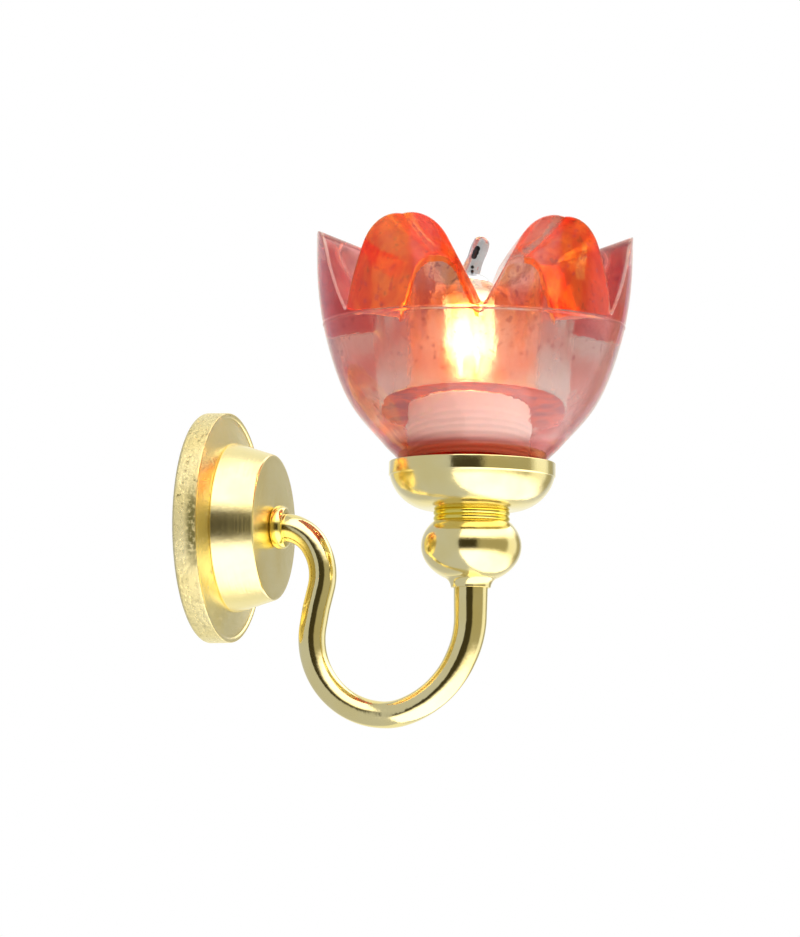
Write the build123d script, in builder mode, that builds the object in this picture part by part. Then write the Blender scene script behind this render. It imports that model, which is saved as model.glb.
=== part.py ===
"""Miniature wall lamp with a tulip shade: a turned wall plate and canopy, a swan-neck arm that carries a
ball, a gallery cup and a six-petalled shade, and a plug-in lamp. Millimetres. The origin is the centre of
the back face, +X points out of the wall and +Z up."""

import os
from math import atan, cos, radians, sin, tan

from build123d import *

os.makedirs("parts", exist_ok=True)

# Wall plate and canopy, turned about the X axis
PLATE_R = 7.62
PLATE_EDGE_R = 7.6
RIM_T = 1.62
PLATE_T = 1.9
PLATE_ROUND = 0.1
LIP_W = 0.24
LIP_H = 0.1
PAD_R = 6.4
PAD_T = 0.6
CANOPY_BASE_R = 5.65
CANOPY_NOSE_R = 4.8
CANOPY_X = 4.63
CANOPY_WALL = 0.55
CANOPY_NOSE_WALL = 0.6
NOSE_ROUND = 0.11
BUSH_R = 1.2
BUSH_FLANGE_R = 1.7
BUSH_FLANGE_T = 0.4

# Arm, a drawn tube whose gauge swells towards the lamp
ARM_START_X = 2.4
ARM_END_Z = -3.0
ARM_ROOT_R = 0.93
ARM_LOW_R = 0.88
ARM_TOP_R = 1.14
ARM_BORE_R = 0.62
BEAD_R = 1.45
BEAD_T = 0.85
BEAD_EDGE_R = 1.17
NUT_FLATS = 3.0
NUT_T = 0.9
FIT_GAP = 0.02

# Lamp axis and the levels on it
LAMP_X = 18.07
COLLAR_LOW_Z = -4.1
COLLAR_HIGH_Z = -3.45
COLLAR_LOW_R = 1.3
COLLAR_HIGH_R = 1.72
COLLAR_FLARE = 1.1
BALL_R = 3.28
BALL_HALF_H = 2.45
BALL_Z = -1.38
NECK_LOW_Z = 0.2
NECK_HIGH_Z = 0.95
NECK_R = 2.5
NECK_GROOVE = 0.1
NIPPLE_R = 1.25
NIPPLE_BORE_R = 0.75
NIPPLE_LOW_Z = -2.9
NIPPLE_HIGH_Z = 3.6

# Gallery cup
CUP_RIM_R = 5.45
CUP_BOWL_R = 5.38
CUP_RIM_Z = 4.1
CUP_BAND_Z = 3.15
CUP_MOUTH_R = 4.9
CUP_LEDGE_R = 4.35
CUP_LEDGE_Z = 3.2
CUP_FLOOR_Z = 1.75
CUP_FLOOR_R = 2.9
CUP_FOOT_R = 2.6
CUP_EDGE = 0.08
GALLERY_NUT_FLATS = 3.2
GALLERY_NUT_T = 0.8

# Shade
PETALS = 6
VALLEY_ANGLE = -12.0
SHADE_TIP_R = 10.37
SHADE_FOOT_R = 4.68
SHADE_FOOT_Z = 3.95
SHADE_FOOT_SLOPE = (0.45, 1)
SHADE_BULGE = [(5.72, 5.14), (7.95, 7.77), (9.55, 11.7), (10.12, 14.4)]
VALLEY_Z = 13.1
PETAL_TIP_H = 5.95
PETAL_INNER_H = 3.85
CAVITY_FLOOR_Z = 9.3
CAVITY_FLOOR_R = 4.35
CAVITY_TOP_R = 4.6
INNER_WALL_SLOPE = 2.6
OUTER_WALL_SLOPE = 1.8
VALLEY_ROUND = 0.25
TRIM = 0.1

# Threaded sleeve glued into the shade
SLEEVE_OFFSET = -0.2
SLEEVE_ROOT_R = 2.84
SLEEVE_CREST_R = 2.93
SLEEVE_BORE_R = 2.4
SLEEVE_LOW_Z = 4.96
THREAD_PITCH = 0.52
THREADS = 7
FOOT_RINGS = 3

# Lampholder, contacts and leads
HOLDER_R = 2.1
HOLDER_TOP_Z = 8.0
HOLDER_EDGE = 0.15
CONTACT_R = 0.36
CONTACT_LOW_Z = 4.4
PIN_Y = 0.45
PIN_R = 0.15
PIN_LEN = 2.0
PIN_ROOT = 0.3
PIN_GAP = 0.03
LEAD_Y = 0.3
LEAD_R = 0.2

# Lamp, with heights above the lampholder
BULB_R = 1.65
BULB_LEAN = -2.7
CAP_R = 1.72
CAP_LOW_H = 0.1
CAP_FLOOR_H = 0.6
CAP_H = 1.5
CAP_CHAMFER = 0.2
CAP_LIP = 0.15
SHOULDER_H = 7.55
DOME_H = 8.85
DOME_SHARE = 0.72
GLASS_T = 0.18
TIP_R = 0.57
TIP_LEAN = 21.0
TIP_LEN = 2.4
TIP_ROOT = 0.35
TIP_ROUND = 0.5
STEM_R = 0.55
STEM_STRETCH = 1.5
STEM_H = 2.5
POST_R = 0.07
POST_TOP_H = 3.3
FILAMENT_R = 0.12
FILAMENT_X = -0.15
FILAMENT_HALF_W = 0.6
FILAMENT_TOP_H = 6.8

LAMP_AXIS = Axis((LAMP_X, 0, 0), (0, 0, 1))
WALL = Plane.YZ
RADIAL = Plane((LAMP_X, 0, 0), x_dir=(1, 0, 0), z_dir=(0, -1, 0))
TURNING = Plane.XY


def finish(part, label):
    """Label one finished sub-part and write it."""
    part.label = label
    export_step(part, "parts/" + label + ".step")


def hexagon_r(flats):
    """Radius over the corners of a hexagon, from its size across flats."""
    return flats / 2 / cos(radians(30))


# --- Wall plate -------------------------------------------------------------------------------------------
with BuildPart() as wall_plate:
    with BuildSketch(TURNING):
        with BuildLine():
            Polyline(
                (PAD_T, 0),
                (PAD_T, PAD_R),
                (0, PAD_R),
                (0, PLATE_R),
                (RIM_T, PLATE_EDGE_R),
                (RIM_T, PLATE_EDGE_R - LIP_W),
                (RIM_T - LIP_H, PLATE_EDGE_R - LIP_W - LIP_H),
                (PLATE_T, CANOPY_BASE_R),
                (PLATE_T, 0),
                close=True,
            )
        make_face()
    revolve(axis=Axis.X)
    with BuildSketch(WALL):
        Circle(BUSH_R + FIT_GAP)
    extrude(amount=PLATE_T, mode=Mode.SUBTRACT)
    rims = wall_plate.edges().filter_by(GeomType.CIRCLE)
    front_rims = rims.filter_by(lambda rim: abs(rim.center().X - RIM_T) < FIT_GAP)
    fillet(front_rims, PLATE_ROUND)
finish(wall_plate.part, "wall_plate")

# --- Adhesive pad, pierced for the two leads --------------------------------------------------------------
with BuildPart() as fixing_pad:
    with BuildSketch(WALL):
        Circle(PAD_R - FIT_GAP)
        with Locations((LEAD_Y, 0), (-LEAD_Y, 0)):
            Circle(LEAD_R + FIT_GAP / 2, mode=Mode.SUBTRACT)
    extrude(amount=PAD_T)
finish(fixing_pad.part, "fixing_pad")

# --- Insulating bush in the plate -------------------------------------------------------------------------
with BuildPart() as lead_bush:
    with BuildSketch(WALL.offset(PAD_T)):
        Circle(BUSH_R)
    extrude(amount=PLATE_T - PAD_T)
    with BuildSketch(WALL.offset(PLATE_T)):
        Circle(BUSH_FLANGE_R)
    extrude(amount=BUSH_FLANGE_T)
    with BuildSketch(WALL.offset(PAD_T)):
        Circle(ARM_BORE_R)
    extrude(amount=PLATE_T - PAD_T + BUSH_FLANGE_T, mode=Mode.SUBTRACT)
finish(lead_bush.part, "lead_bush")

# --- Canopy: a hollow cone with a flat nose ---------------------------------------------------------------
with BuildPart() as canopy:
    with BuildSketch(TURNING):
        with BuildLine():
            Polyline(
                (PLATE_T, CANOPY_BASE_R - CANOPY_WALL),
                (PLATE_T, CANOPY_BASE_R),
                (CANOPY_X, CANOPY_NOSE_R),
                (CANOPY_X, ARM_ROOT_R + FIT_GAP),
                (CANOPY_X - CANOPY_NOSE_WALL, ARM_ROOT_R + FIT_GAP),
                (CANOPY_X - CANOPY_NOSE_WALL, CANOPY_NOSE_R - CANOPY_WALL),
                close=True,
            )
        make_face()
    revolve(axis=Axis.X)
    nose_rim = canopy.edges().filter_by(GeomType.CIRCLE).group_by(Axis.X)[-1].sort_by(SortBy.RADIUS)[-1]
    fillet(nose_rim, NOSE_ROUND)
finish(canopy.part, "canopy")

# --- Turned bead where the arm leaves the canopy ----------------------------------------------------------
BEAD_FRONT_X = CANOPY_X + BEAD_T
with BuildPart() as arm_root_bead:
    with BuildSketch(TURNING):
        with BuildLine():
            back = Line((CANOPY_X, ARM_ROOT_R + FIT_GAP), (CANOPY_X, BEAD_EDGE_R))
            crown = ThreePointArc(back @ 1, (CANOPY_X + BEAD_T / 2, BEAD_R), (BEAD_FRONT_X, BEAD_EDGE_R))
            Polyline(crown @ 1, (BEAD_FRONT_X, ARM_ROOT_R + FIT_GAP), back @ 0)
        make_face()
    revolve(axis=Axis.X)
finish(arm_root_bead.part, "arm_root_bead")

# --- Hexagon nut that locks the arm to the canopy ---------------------------------------------------------
with BuildPart() as arm_lock_nut:
    with BuildSketch(WALL.offset(CANOPY_X - CANOPY_NOSE_WALL - NUT_T)):
        RegularPolygon(hexagon_r(NUT_FLATS), 6)
        Circle(ARM_ROOT_R + FIT_GAP, mode=Mode.SUBTRACT)
    extrude(amount=NUT_T)
finish(arm_lock_nut.part, "arm_lock_nut")

# --- Arm: one swan-neck centreline in the XZ plane, bored for the leads -----------------------------------
ARM_POINTS = [
    (6.75, 0),
    (8.23, -2.7),
    (7.59, -5.35),
    (6.49, -12.0),
    (13.0, -12.42),
    (16.35, -11.15),
    (LAMP_X, -7.3),
]
ARM_RADII = [2.6, 3.6, 3.6, 5.05, 4.0, 6.4, 6.2]


def swan_neck(start_x, end_z, y=0.0):
    """The arm's centreline, or a lead's beside it, up to a height on the lamp axis."""
    corners = [(x, y, z) for x, z in ARM_POINTS]
    return FilletPolyline((start_x, y, 0), *corners, (LAMP_X, y, end_z), radius=ARM_RADII)


with BuildLine() as arm_line:
    swan_neck(ARM_START_X, ARM_END_Z)
arm_wire = arm_line.wires()[0]
low_point = arm_line.vertices().sort_by(Axis.Z)[0]
low_share = arm_wire.param_at_point(tuple(low_point))


def arm_section(share):
    """The plane across the arm at a share of its length."""
    return Plane(arm_wire.position_at(share), z_dir=arm_wire.tangent_at(share))


with BuildPart() as arm_tube:
    with BuildSketch(arm_section(0)):
        Circle(ARM_ROOT_R)
    with BuildSketch(arm_section(low_share)):
        Circle(ARM_LOW_R)
    with BuildSketch(arm_section(1)):
        Circle(ARM_TOP_R)
    sweep(path=arm_wire, multisection=True)
    with BuildSketch(arm_section(0)):
        Circle(ARM_BORE_R)
    sweep(path=arm_wire, mode=Mode.SUBTRACT)
finish(arm_tube.part, "arm_tube")

# --- Flared collar under the ball -------------------------------------------------------------------------
with BuildPart() as arm_top_collar:
    with BuildSketch(RADIAL):
        with BuildLine():
            collar_bore = ARM_TOP_R + FIT_GAP
            Line((collar_bore, COLLAR_HIGH_Z), (collar_bore, COLLAR_LOW_Z))
            Line((collar_bore, COLLAR_LOW_Z), (COLLAR_LOW_R, COLLAR_LOW_Z))
            RadiusArc((COLLAR_LOW_R, COLLAR_LOW_Z), (COLLAR_HIGH_R, COLLAR_HIGH_Z), COLLAR_FLARE)
            Line((COLLAR_HIGH_R, COLLAR_HIGH_Z), (collar_bore, COLLAR_HIGH_Z))
        make_face()
    revolve(axis=LAMP_AXIS)
finish(arm_top_collar.part, "arm_top_collar")

# --- Ball: an oblate ellipsoid, bored for the nipple and stepped for the arm's end ------------------------
with BuildPart() as ball_knop:
    with BuildSketch(RADIAL):
        with Locations((0, BALL_Z)):
            Ellipse(BALL_R, BALL_HALF_H)
        with Locations((BALL_R, (NECK_LOW_Z + COLLAR_HIGH_Z) / 2)):
            Rectangle(2 * BALL_R, NECK_LOW_Z - COLLAR_HIGH_Z, mode=Mode.INTERSECT)
    revolve(axis=LAMP_AXIS)
    with BuildSketch(Plane((LAMP_X, 0, NIPPLE_LOW_Z))):
        Circle(NIPPLE_R + FIT_GAP)
    extrude(amount=NECK_LOW_Z - NIPPLE_LOW_Z, mode=Mode.SUBTRACT)
    with BuildSketch(Plane((LAMP_X, 0, COLLAR_HIGH_Z))):
        Circle(ARM_TOP_R + FIT_GAP)
    extrude(amount=NIPPLE_LOW_Z - COLLAR_HIGH_Z, mode=Mode.SUBTRACT)
finish(ball_knop.part, "ball_knop")

# --- Neck spacer with two rounded rings -------------------------------------------------------------------
NECK_MID_Z = (NECK_LOW_Z + NECK_HIGH_Z) / 2
NECK_WAIST = NECK_R - NECK_GROOVE
with BuildPart() as neck_spacer:
    with BuildSketch(RADIAL):
        with BuildLine():
            low_ring = ThreePointArc(
                (NECK_WAIST, NECK_LOW_Z),
                (NECK_R, (NECK_LOW_Z + NECK_MID_Z) / 2),
                (NECK_WAIST, NECK_MID_Z),
            )
            high_ring = ThreePointArc(
                low_ring @ 1,
                (NECK_R, (NECK_HIGH_Z + NECK_MID_Z) / 2),
                (NECK_WAIST, NECK_HIGH_Z),
            )
            Line(high_ring @ 1, (NIPPLE_R + FIT_GAP, NECK_HIGH_Z))
            Line((NIPPLE_R + FIT_GAP, NECK_HIGH_Z), (NIPPLE_R + FIT_GAP, NECK_LOW_Z))
            Line((NIPPLE_R + FIT_GAP, NECK_LOW_Z), low_ring @ 0)
        make_face()
    revolve(axis=LAMP_AXIS)
finish(neck_spacer.part, "neck_spacer")

# --- Gallery cup: a round bowl under a plain rim band, with a ledge for the shade -------------------------
BOWL_H = CUP_BAND_Z - NECK_HIGH_Z
BOWL_ARC_R = BOWL_H / 2 + (CUP_BOWL_R - CUP_FOOT_R) ** 2 / 2 / BOWL_H
with BuildPart() as gallery_cup:
    with BuildSketch(RADIAL):
        with BuildLine():
            bore = NIPPLE_R + FIT_GAP
            Polyline((bore, CUP_FLOOR_Z), (bore, NECK_HIGH_Z), (CUP_FOOT_R, NECK_HIGH_Z))
            RadiusArc((CUP_FOOT_R, NECK_HIGH_Z), (CUP_BOWL_R, CUP_BAND_Z), -BOWL_ARC_R)
            Polyline(
                (CUP_BOWL_R, CUP_BAND_Z),
                (CUP_RIM_R, CUP_BAND_Z + CUP_EDGE),
                (CUP_RIM_R, CUP_RIM_Z - CUP_EDGE),
                (CUP_RIM_R - CUP_EDGE, CUP_RIM_Z),
                (CUP_MOUTH_R, CUP_RIM_Z),
                (CUP_MOUTH_R, CUP_LEDGE_Z),
                (CUP_LEDGE_R, CUP_LEDGE_Z),
                (CUP_FLOOR_R, CUP_FLOOR_Z),
                (bore, CUP_FLOOR_Z),
            )
        make_face()
    revolve(axis=LAMP_AXIS)
finish(gallery_cup.part, "gallery_cup")

# --- Hollow nipple and the nut that clamps ball, neck and cup ---------------------------------------------
with BuildPart() as centre_nipple:
    with BuildSketch(Plane((LAMP_X, 0, NIPPLE_LOW_Z))):
        Circle(NIPPLE_R)
        Circle(NIPPLE_BORE_R, mode=Mode.SUBTRACT)
    extrude(amount=NIPPLE_HIGH_Z - NIPPLE_LOW_Z)
finish(centre_nipple.part, "centre_nipple")

with BuildPart() as gallery_nut:
    with BuildSketch(Plane((LAMP_X, 0, CUP_FLOOR_Z))):
        RegularPolygon(hexagon_r(GALLERY_NUT_FLATS), 6)
        Circle(NIPPLE_R + FIT_GAP, mode=Mode.SUBTRACT)
    extrude(amount=GALLERY_NUT_T)
finish(gallery_nut.part, "gallery_nut")

# --- Lampholder and its two socket contacts ---------------------------------------------------------------
HOLDER_LOW_Z = CUP_FLOOR_Z + GALLERY_NUT_T
with BuildPart() as lampholder:
    with BuildSketch(Plane((LAMP_X, 0, HOLDER_LOW_Z))):
        Circle(HOLDER_R)
    extrude(amount=HOLDER_TOP_Z - HOLDER_LOW_Z)
    with BuildSketch(Plane((LAMP_X, 0, HOLDER_LOW_Z))):
        Circle(NIPPLE_R + FIT_GAP)
    extrude(amount=NIPPLE_HIGH_Z - HOLDER_LOW_Z, mode=Mode.SUBTRACT)
    with BuildSketch(Plane((LAMP_X, 0, NIPPLE_HIGH_Z))):
        Circle(ARM_BORE_R)
    extrude(amount=CONTACT_LOW_Z - NIPPLE_HIGH_Z, mode=Mode.SUBTRACT)
    with BuildSketch(Plane((LAMP_X, 0, CONTACT_LOW_Z))):
        with Locations((0, PIN_Y), (0, -PIN_Y)):
            Circle(CONTACT_R + FIT_GAP)
    extrude(amount=HOLDER_TOP_Z - CONTACT_LOW_Z, mode=Mode.SUBTRACT)
    holder_top = lampholder.edges().filter_by(GeomType.CIRCLE).group_by(Axis.Z)[-1]
    holder_rim = holder_top.sort_by(SortBy.RADIUS)[-1]
    chamfer(holder_rim, HOLDER_EDGE)
finish(lampholder.part, "lampholder")

for side, name in ((1, "socket_contact_near"), (-1, "socket_contact_far")):
    with BuildPart() as contact:
        with BuildSketch(Plane((LAMP_X, -side * PIN_Y, CONTACT_LOW_Z))):
            Circle(CONTACT_R)
        extrude(amount=HOLDER_TOP_Z - CONTACT_LOW_Z)
        with BuildSketch(Plane((LAMP_X, -side * PIN_Y, HOLDER_TOP_Z))):
            Circle(PIN_R + PIN_GAP)
        extrude(amount=-PIN_LEN - CONTACT_R, mode=Mode.SUBTRACT)
    finish(contact.part, name)

# --- Two insulated leads, held all the way from the plate's back to the contacts --------------------------
for side, name in ((1, "lead_near"), (-1, "lead_far")):
    with BuildLine() as lead_line:
        swan_neck(0, CONTACT_LOW_Z, -side * LEAD_Y)
    with BuildPart() as lead:
        with BuildSketch(Plane((0, -side * LEAD_Y, 0), z_dir=(1, 0, 0))):
            Circle(LEAD_R)
        sweep(path=lead_line.wires()[0])
    finish(lead.part, name)

# --- The glued-in sleeve sits a little off the lamp axis, and rings in the foot's bore match its thread ---
SLEEVE_AXIS = Axis((LAMP_X + SLEEVE_OFFSET, 0, 0), (0, 0, 1))
SLEEVE_RADIAL = Plane(SLEEVE_AXIS.position, x_dir=(1, 0, 0), z_dir=(0, -1, 0))
SHADE_BORE_R = SLEEVE_ROOT_R - FIT_GAP
RIDGE_H = SLEEVE_CREST_R - SLEEVE_ROOT_R


def ridges(radius, low_z, count):
    """Corner points of a row of pointed ridges that stand out from a radius."""
    points = []
    for turn in range(count):
        z = low_z + turn * THREAD_PITCH
        points += [(radius, z), (radius + RIDGE_H, z + THREAD_PITCH / 2)]
    return points


# --- Shade: a thick bowl with six petals ------------------------------------------------------------------
# A groove's outline changes evenly with its distance from the axis, so two outlines and straight lines
# between them give its faces. The petals' ridges slope inwards, and their crowns are rounder there.
HALF_PITCH = tan(radians(180 / PETALS))
PETAL_COS = cos(radians(180 / PETALS))
RIDGE_SLOPE = (PETAL_TIP_H - PETAL_INNER_H) / ((SHADE_TIP_R - CAVITY_TOP_R) * PETAL_COS)
GROOVE_TOP = 8.0
GROOVE_MARGIN = 0.25


def crown_point(half, ridge, crown, angle):
    """A point on a petal's rounded crown, at an angle from its top."""
    return half - crown * sin(angle), ridge - crown * (1 - cos(angle))


def groove_outline(distance, slope):
    """Draw the space between two petals' middles, seen along a radius at a distance from the axis."""
    lean = atan(slope)
    half = distance * HALF_PITCH
    ridge = PETAL_INNER_H + (distance - CAVITY_TOP_R * PETAL_COS) * RIDGE_SLOPE
    crown = (slope * half - ridge) / (slope * sin(lean) + cos(lean) - 1)
    mid_x, mid_z = crown_point(half, ridge, crown, lean / 2)
    x, z = crown_point(half, ridge, crown, lean)
    low_x = VALLEY_ROUND * sin(lean)
    low_z = slope * low_x
    ThreePointArc((-half, ridge), (-mid_x, mid_z), (-x, z))
    Line((-x, z), (-low_x, low_z))
    ThreePointArc((-low_x, low_z), (0, low_z - VALLEY_ROUND * (1 - cos(lean))), (low_x, low_z))
    Line((low_x, low_z), (x, z))
    ThreePointArc((x, z), (mid_x, mid_z), (half, ridge))
    Polyline((half, ridge), (half, GROOVE_TOP), (-half, GROOVE_TOP), (-half, ridge))


GROOVE_NEAR = CAVITY_TOP_R * PETAL_COS - GROOVE_MARGIN
GROOVE_FAR = SHADE_TIP_R + GROOVE_MARGIN
with BuildPart() as groove:
    with BuildSketch(Plane((GROOVE_NEAR, 0, VALLEY_Z), x_dir=(0, 1, 0), z_dir=(1, 0, 0))):
        with BuildLine():
            groove_outline(GROOVE_NEAR, INNER_WALL_SLOPE)
        make_face()
    with BuildSketch(Plane((GROOVE_FAR, 0, VALLEY_Z), x_dir=(0, 1, 0), z_dir=(1, 0, 0))):
        with BuildLine():
            groove_outline(GROOVE_FAR, OUTER_WALL_SLOPE)
        make_face()
    loft(ruled=True)

TRIM_Z = VALLEY_Z + PETAL_TIP_H + TRIM
with BuildPart() as shade:
    with BuildSketch(RADIAL):
        with BuildLine():
            foot = Polyline((0, CUP_LEDGE_Z), (SHADE_FOOT_R, CUP_LEDGE_Z), (SHADE_FOOT_R, SHADE_FOOT_Z))
            Spline(foot @ 1, *SHADE_BULGE, (SHADE_TIP_R, TRIM_Z), tangents=[SHADE_FOOT_SLOPE, (0, 1)])
            Polyline((SHADE_TIP_R, TRIM_Z), (0, TRIM_Z), (0, CUP_LEDGE_Z))
        make_face()
    revolve(axis=LAMP_AXIS)
    with BuildSketch(RADIAL):
        with BuildLine():
            Polyline(
                (0, CAVITY_FLOOR_Z),
                (CAVITY_FLOOR_R, CAVITY_FLOOR_Z),
                (CAVITY_TOP_R, TRIM_Z),
                (0, TRIM_Z),
                close=True,
            )
        make_face()
    revolve(axis=LAMP_AXIS, mode=Mode.SUBTRACT)
    with BuildSketch(SLEEVE_RADIAL):
        with BuildLine():
            Polyline(
                (0, CUP_LEDGE_Z),
                (SHADE_BORE_R, CUP_LEDGE_Z),
                *ridges(SHADE_BORE_R, SLEEVE_LOW_Z - FOOT_RINGS * THREAD_PITCH, FOOT_RINGS),
                (SHADE_BORE_R, SLEEVE_LOW_Z),
                (SHADE_BORE_R, CAVITY_FLOOR_Z),
                (0, CAVITY_FLOOR_Z),
                close=True,
            )
        make_face()
    revolve(axis=SLEEVE_AXIS, mode=Mode.SUBTRACT)
    with Locations((LAMP_X, 0, 0)):
        with PolarLocations(0, PETALS, start_angle=VALLEY_ANGLE):
            add(groove.part, mode=Mode.SUBTRACT)
finish(shade.part, "shade")

# --- Threaded sleeve glued into the shade's base ----------------------------------------------------------
with BuildPart() as shade_sleeve:
    with BuildSketch(SLEEVE_RADIAL):
        with BuildLine():
            Polyline(
                (SLEEVE_BORE_R, SLEEVE_LOW_Z),
                *ridges(SLEEVE_ROOT_R, SLEEVE_LOW_Z, THREADS),
                (SLEEVE_ROOT_R, SLEEVE_LOW_Z + THREADS * THREAD_PITCH),
                (SLEEVE_ROOT_R, CAVITY_FLOOR_Z),
                (SLEEVE_BORE_R, CAVITY_FLOOR_Z),
                close=True,
            )
        make_face()
    revolve(axis=SLEEVE_AXIS)
finish(shade_sleeve.part, "shade_sleeve")

# --- Lamp: everything above its pins leans a little towards the wall --------------------------------------
BULB_PLANE = Plane((LAMP_X, 0, HOLDER_TOP_Z)).rotated((0, BULB_LEAN, 0))
BULB_RADIAL = Plane(BULB_PLANE.origin, x_dir=BULB_PLANE.x_dir, z_dir=-BULB_PLANE.y_dir)
BULB_AXIS = Axis(BULB_PLANE.origin, BULB_PLANE.z_dir)
TIP_PLANE = Plane(BULB_PLANE.from_local_coords((0, 0, DOME_H - TIP_ROOT))).rotated((0, TIP_LEAN, 0))
LEG_X = (FILAMENT_X - FILAMENT_HALF_W, FILAMENT_X + FILAMENT_HALF_W)

with BuildPart() as bulb_cap:
    with BuildSketch(BULB_RADIAL):
        with BuildLine():
            Polyline(
                (0, CAP_LOW_H),
                (CAP_R - CAP_CHAMFER, CAP_LOW_H),
                (CAP_R, CAP_LOW_H + CAP_CHAMFER),
                (CAP_R, CAP_H),
                (BULB_R - CAP_LIP, CAP_H),
                (BULB_R - CAP_LIP, CAP_FLOOR_H),
                (0, CAP_FLOOR_H),
                close=True,
            )
        make_face()
    revolve(axis=BULB_AXIS)
finish(bulb_cap.part, "bulb_cap")


def envelope(radius, top):
    """Draw half of the glass's outline: a straight side and a dome."""
    dome_mid = (radius * DOME_SHARE, SHOULDER_H + (top - SHOULDER_H) * (1 - DOME_SHARE**2))
    Line((0, CAP_H), (radius, CAP_H))
    Line((radius, CAP_H), (radius, SHOULDER_H))
    Spline((radius, SHOULDER_H), dome_mid, (0, top), tangents=[(0, 1), (-1, 0)])
    Line((0, top), (0, CAP_H))


with BuildPart() as bulb_glass:
    with BuildSketch(BULB_RADIAL):
        with BuildLine():
            envelope(BULB_R, DOME_H)
        make_face()
    revolve(axis=BULB_AXIS)
    with BuildSketch(TIP_PLANE):
        Circle(TIP_R)
    extrude(amount=TIP_LEN)
    tip_end = bulb_glass.edges().filter_by(GeomType.CIRCLE).sort_by(Axis.Z)[-1]
    fillet(tip_end, TIP_ROUND)
    with BuildSketch(BULB_RADIAL):
        with BuildLine():
            envelope(BULB_R - GLASS_T, DOME_H - GLASS_T)
        make_face()
    revolve(axis=BULB_AXIS, mode=Mode.SUBTRACT)
finish(bulb_glass.part, "bulb_glass")

with BuildPart() as bulb_stem:
    with BuildSketch(BULB_PLANE.offset(CAP_FLOOR_H)):
        Circle(BULB_R - CAP_LIP - FIT_GAP)
    extrude(amount=CAP_H - CAP_FLOOR_H)
    with BuildSketch(BULB_PLANE.offset(CAP_H)):
        Ellipse(STEM_R * STEM_STRETCH, STEM_R)
    extrude(amount=STEM_H - CAP_H)
finish(bulb_stem.part, "bulb_stem")

with BuildPart() as filament_posts:
    with BuildSketch(BULB_PLANE.offset(STEM_H)):
        with Locations(*[(x, 0) for x in LEG_X]):
            Circle(POST_R)
    extrude(amount=POST_TOP_H - STEM_H)
finish(filament_posts.part, "filament_posts")

ARCH_H = FILAMENT_TOP_H - FILAMENT_HALF_W
with BuildPart() as filament:
    with BuildLine(BULB_RADIAL):
        rise = Line((LEG_X[0], POST_TOP_H), (LEG_X[0], ARCH_H))
        arch = ThreePointArc(rise @ 1, (FILAMENT_X, FILAMENT_TOP_H), (LEG_X[1], ARCH_H))
        Line(arch @ 1, (LEG_X[1], POST_TOP_H))
    with BuildSketch(Plane(rise @ 0, z_dir=rise % 0)):
        Circle(FILAMENT_R)
    sweep()
finish(filament.part, "filament")

with BuildPart() as bulb_pins:
    with BuildSketch(Plane((LAMP_X, 0, HOLDER_TOP_Z + PIN_ROOT))):
        with Locations((0, PIN_Y), (0, -PIN_Y)):
            Circle(PIN_R)
    extrude(amount=-PIN_LEN - PIN_ROOT)
finish(bulb_pins.part, "bulb_pins")
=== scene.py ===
"""Looks of a miniature wall lamp: turned and polished brass, a lit bulb and a lacquered six-petalled shade.
The wall is on the -X side and +Z is up. Shapes are worked out in millimetres and made in metres."""

from math import asin, atan, ceil, cos, hypot, pi, radians, sin, sqrt, tan

import bmesh
import bpy
from mathutils import Matrix, Vector


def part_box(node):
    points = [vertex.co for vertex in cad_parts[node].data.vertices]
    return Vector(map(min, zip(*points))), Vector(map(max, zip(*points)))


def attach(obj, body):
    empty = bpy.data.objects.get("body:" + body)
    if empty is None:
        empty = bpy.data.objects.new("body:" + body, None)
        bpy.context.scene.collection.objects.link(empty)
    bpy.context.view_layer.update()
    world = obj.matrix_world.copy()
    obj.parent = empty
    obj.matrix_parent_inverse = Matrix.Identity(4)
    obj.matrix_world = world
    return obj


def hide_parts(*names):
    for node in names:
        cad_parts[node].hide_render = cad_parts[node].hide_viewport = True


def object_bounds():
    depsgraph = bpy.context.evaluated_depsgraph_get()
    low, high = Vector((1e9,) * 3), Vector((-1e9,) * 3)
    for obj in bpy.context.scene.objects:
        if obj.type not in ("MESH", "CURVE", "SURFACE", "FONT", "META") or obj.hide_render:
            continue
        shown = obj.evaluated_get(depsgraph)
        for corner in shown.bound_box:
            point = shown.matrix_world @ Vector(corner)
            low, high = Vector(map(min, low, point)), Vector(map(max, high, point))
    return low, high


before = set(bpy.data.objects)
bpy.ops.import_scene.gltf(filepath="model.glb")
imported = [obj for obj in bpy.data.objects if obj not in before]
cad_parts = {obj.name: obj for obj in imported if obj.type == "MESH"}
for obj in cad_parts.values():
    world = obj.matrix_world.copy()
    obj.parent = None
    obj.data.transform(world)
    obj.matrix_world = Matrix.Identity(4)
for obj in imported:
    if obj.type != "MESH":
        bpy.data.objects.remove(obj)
cad_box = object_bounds()

MM = 0.001
SHARP_ANGLE = radians(32)


# --- Reading the frame ------------------------------------------------------------------------------------
def mm_box(node):
    """A CAD node's lowest and highest corners, in millimetres."""
    low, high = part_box(node)
    return low / MM, high / MM


def radius_of(node, axis="y"):
    """Half a turned node's width across one axis, in millimetres."""
    low, high = mm_box(node)
    return (getattr(high, axis) - getattr(low, axis)) / 2


def levels(node, axis="z"):
    """A node's lowest and highest level along one axis, in millimetres."""
    low, high = mm_box(node)
    return getattr(low, axis), getattr(high, axis)


CUP_LOW, CUP_HIGH = levels("gallery_cup")
LAMP_X = sum(levels("gallery_cup", "x")) / 2
LAMP_AXIS = Matrix.Translation((LAMP_X, 0, 0))
WALL_AXIS = Matrix.Rotation(pi / 2, 4, "Y")


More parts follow.
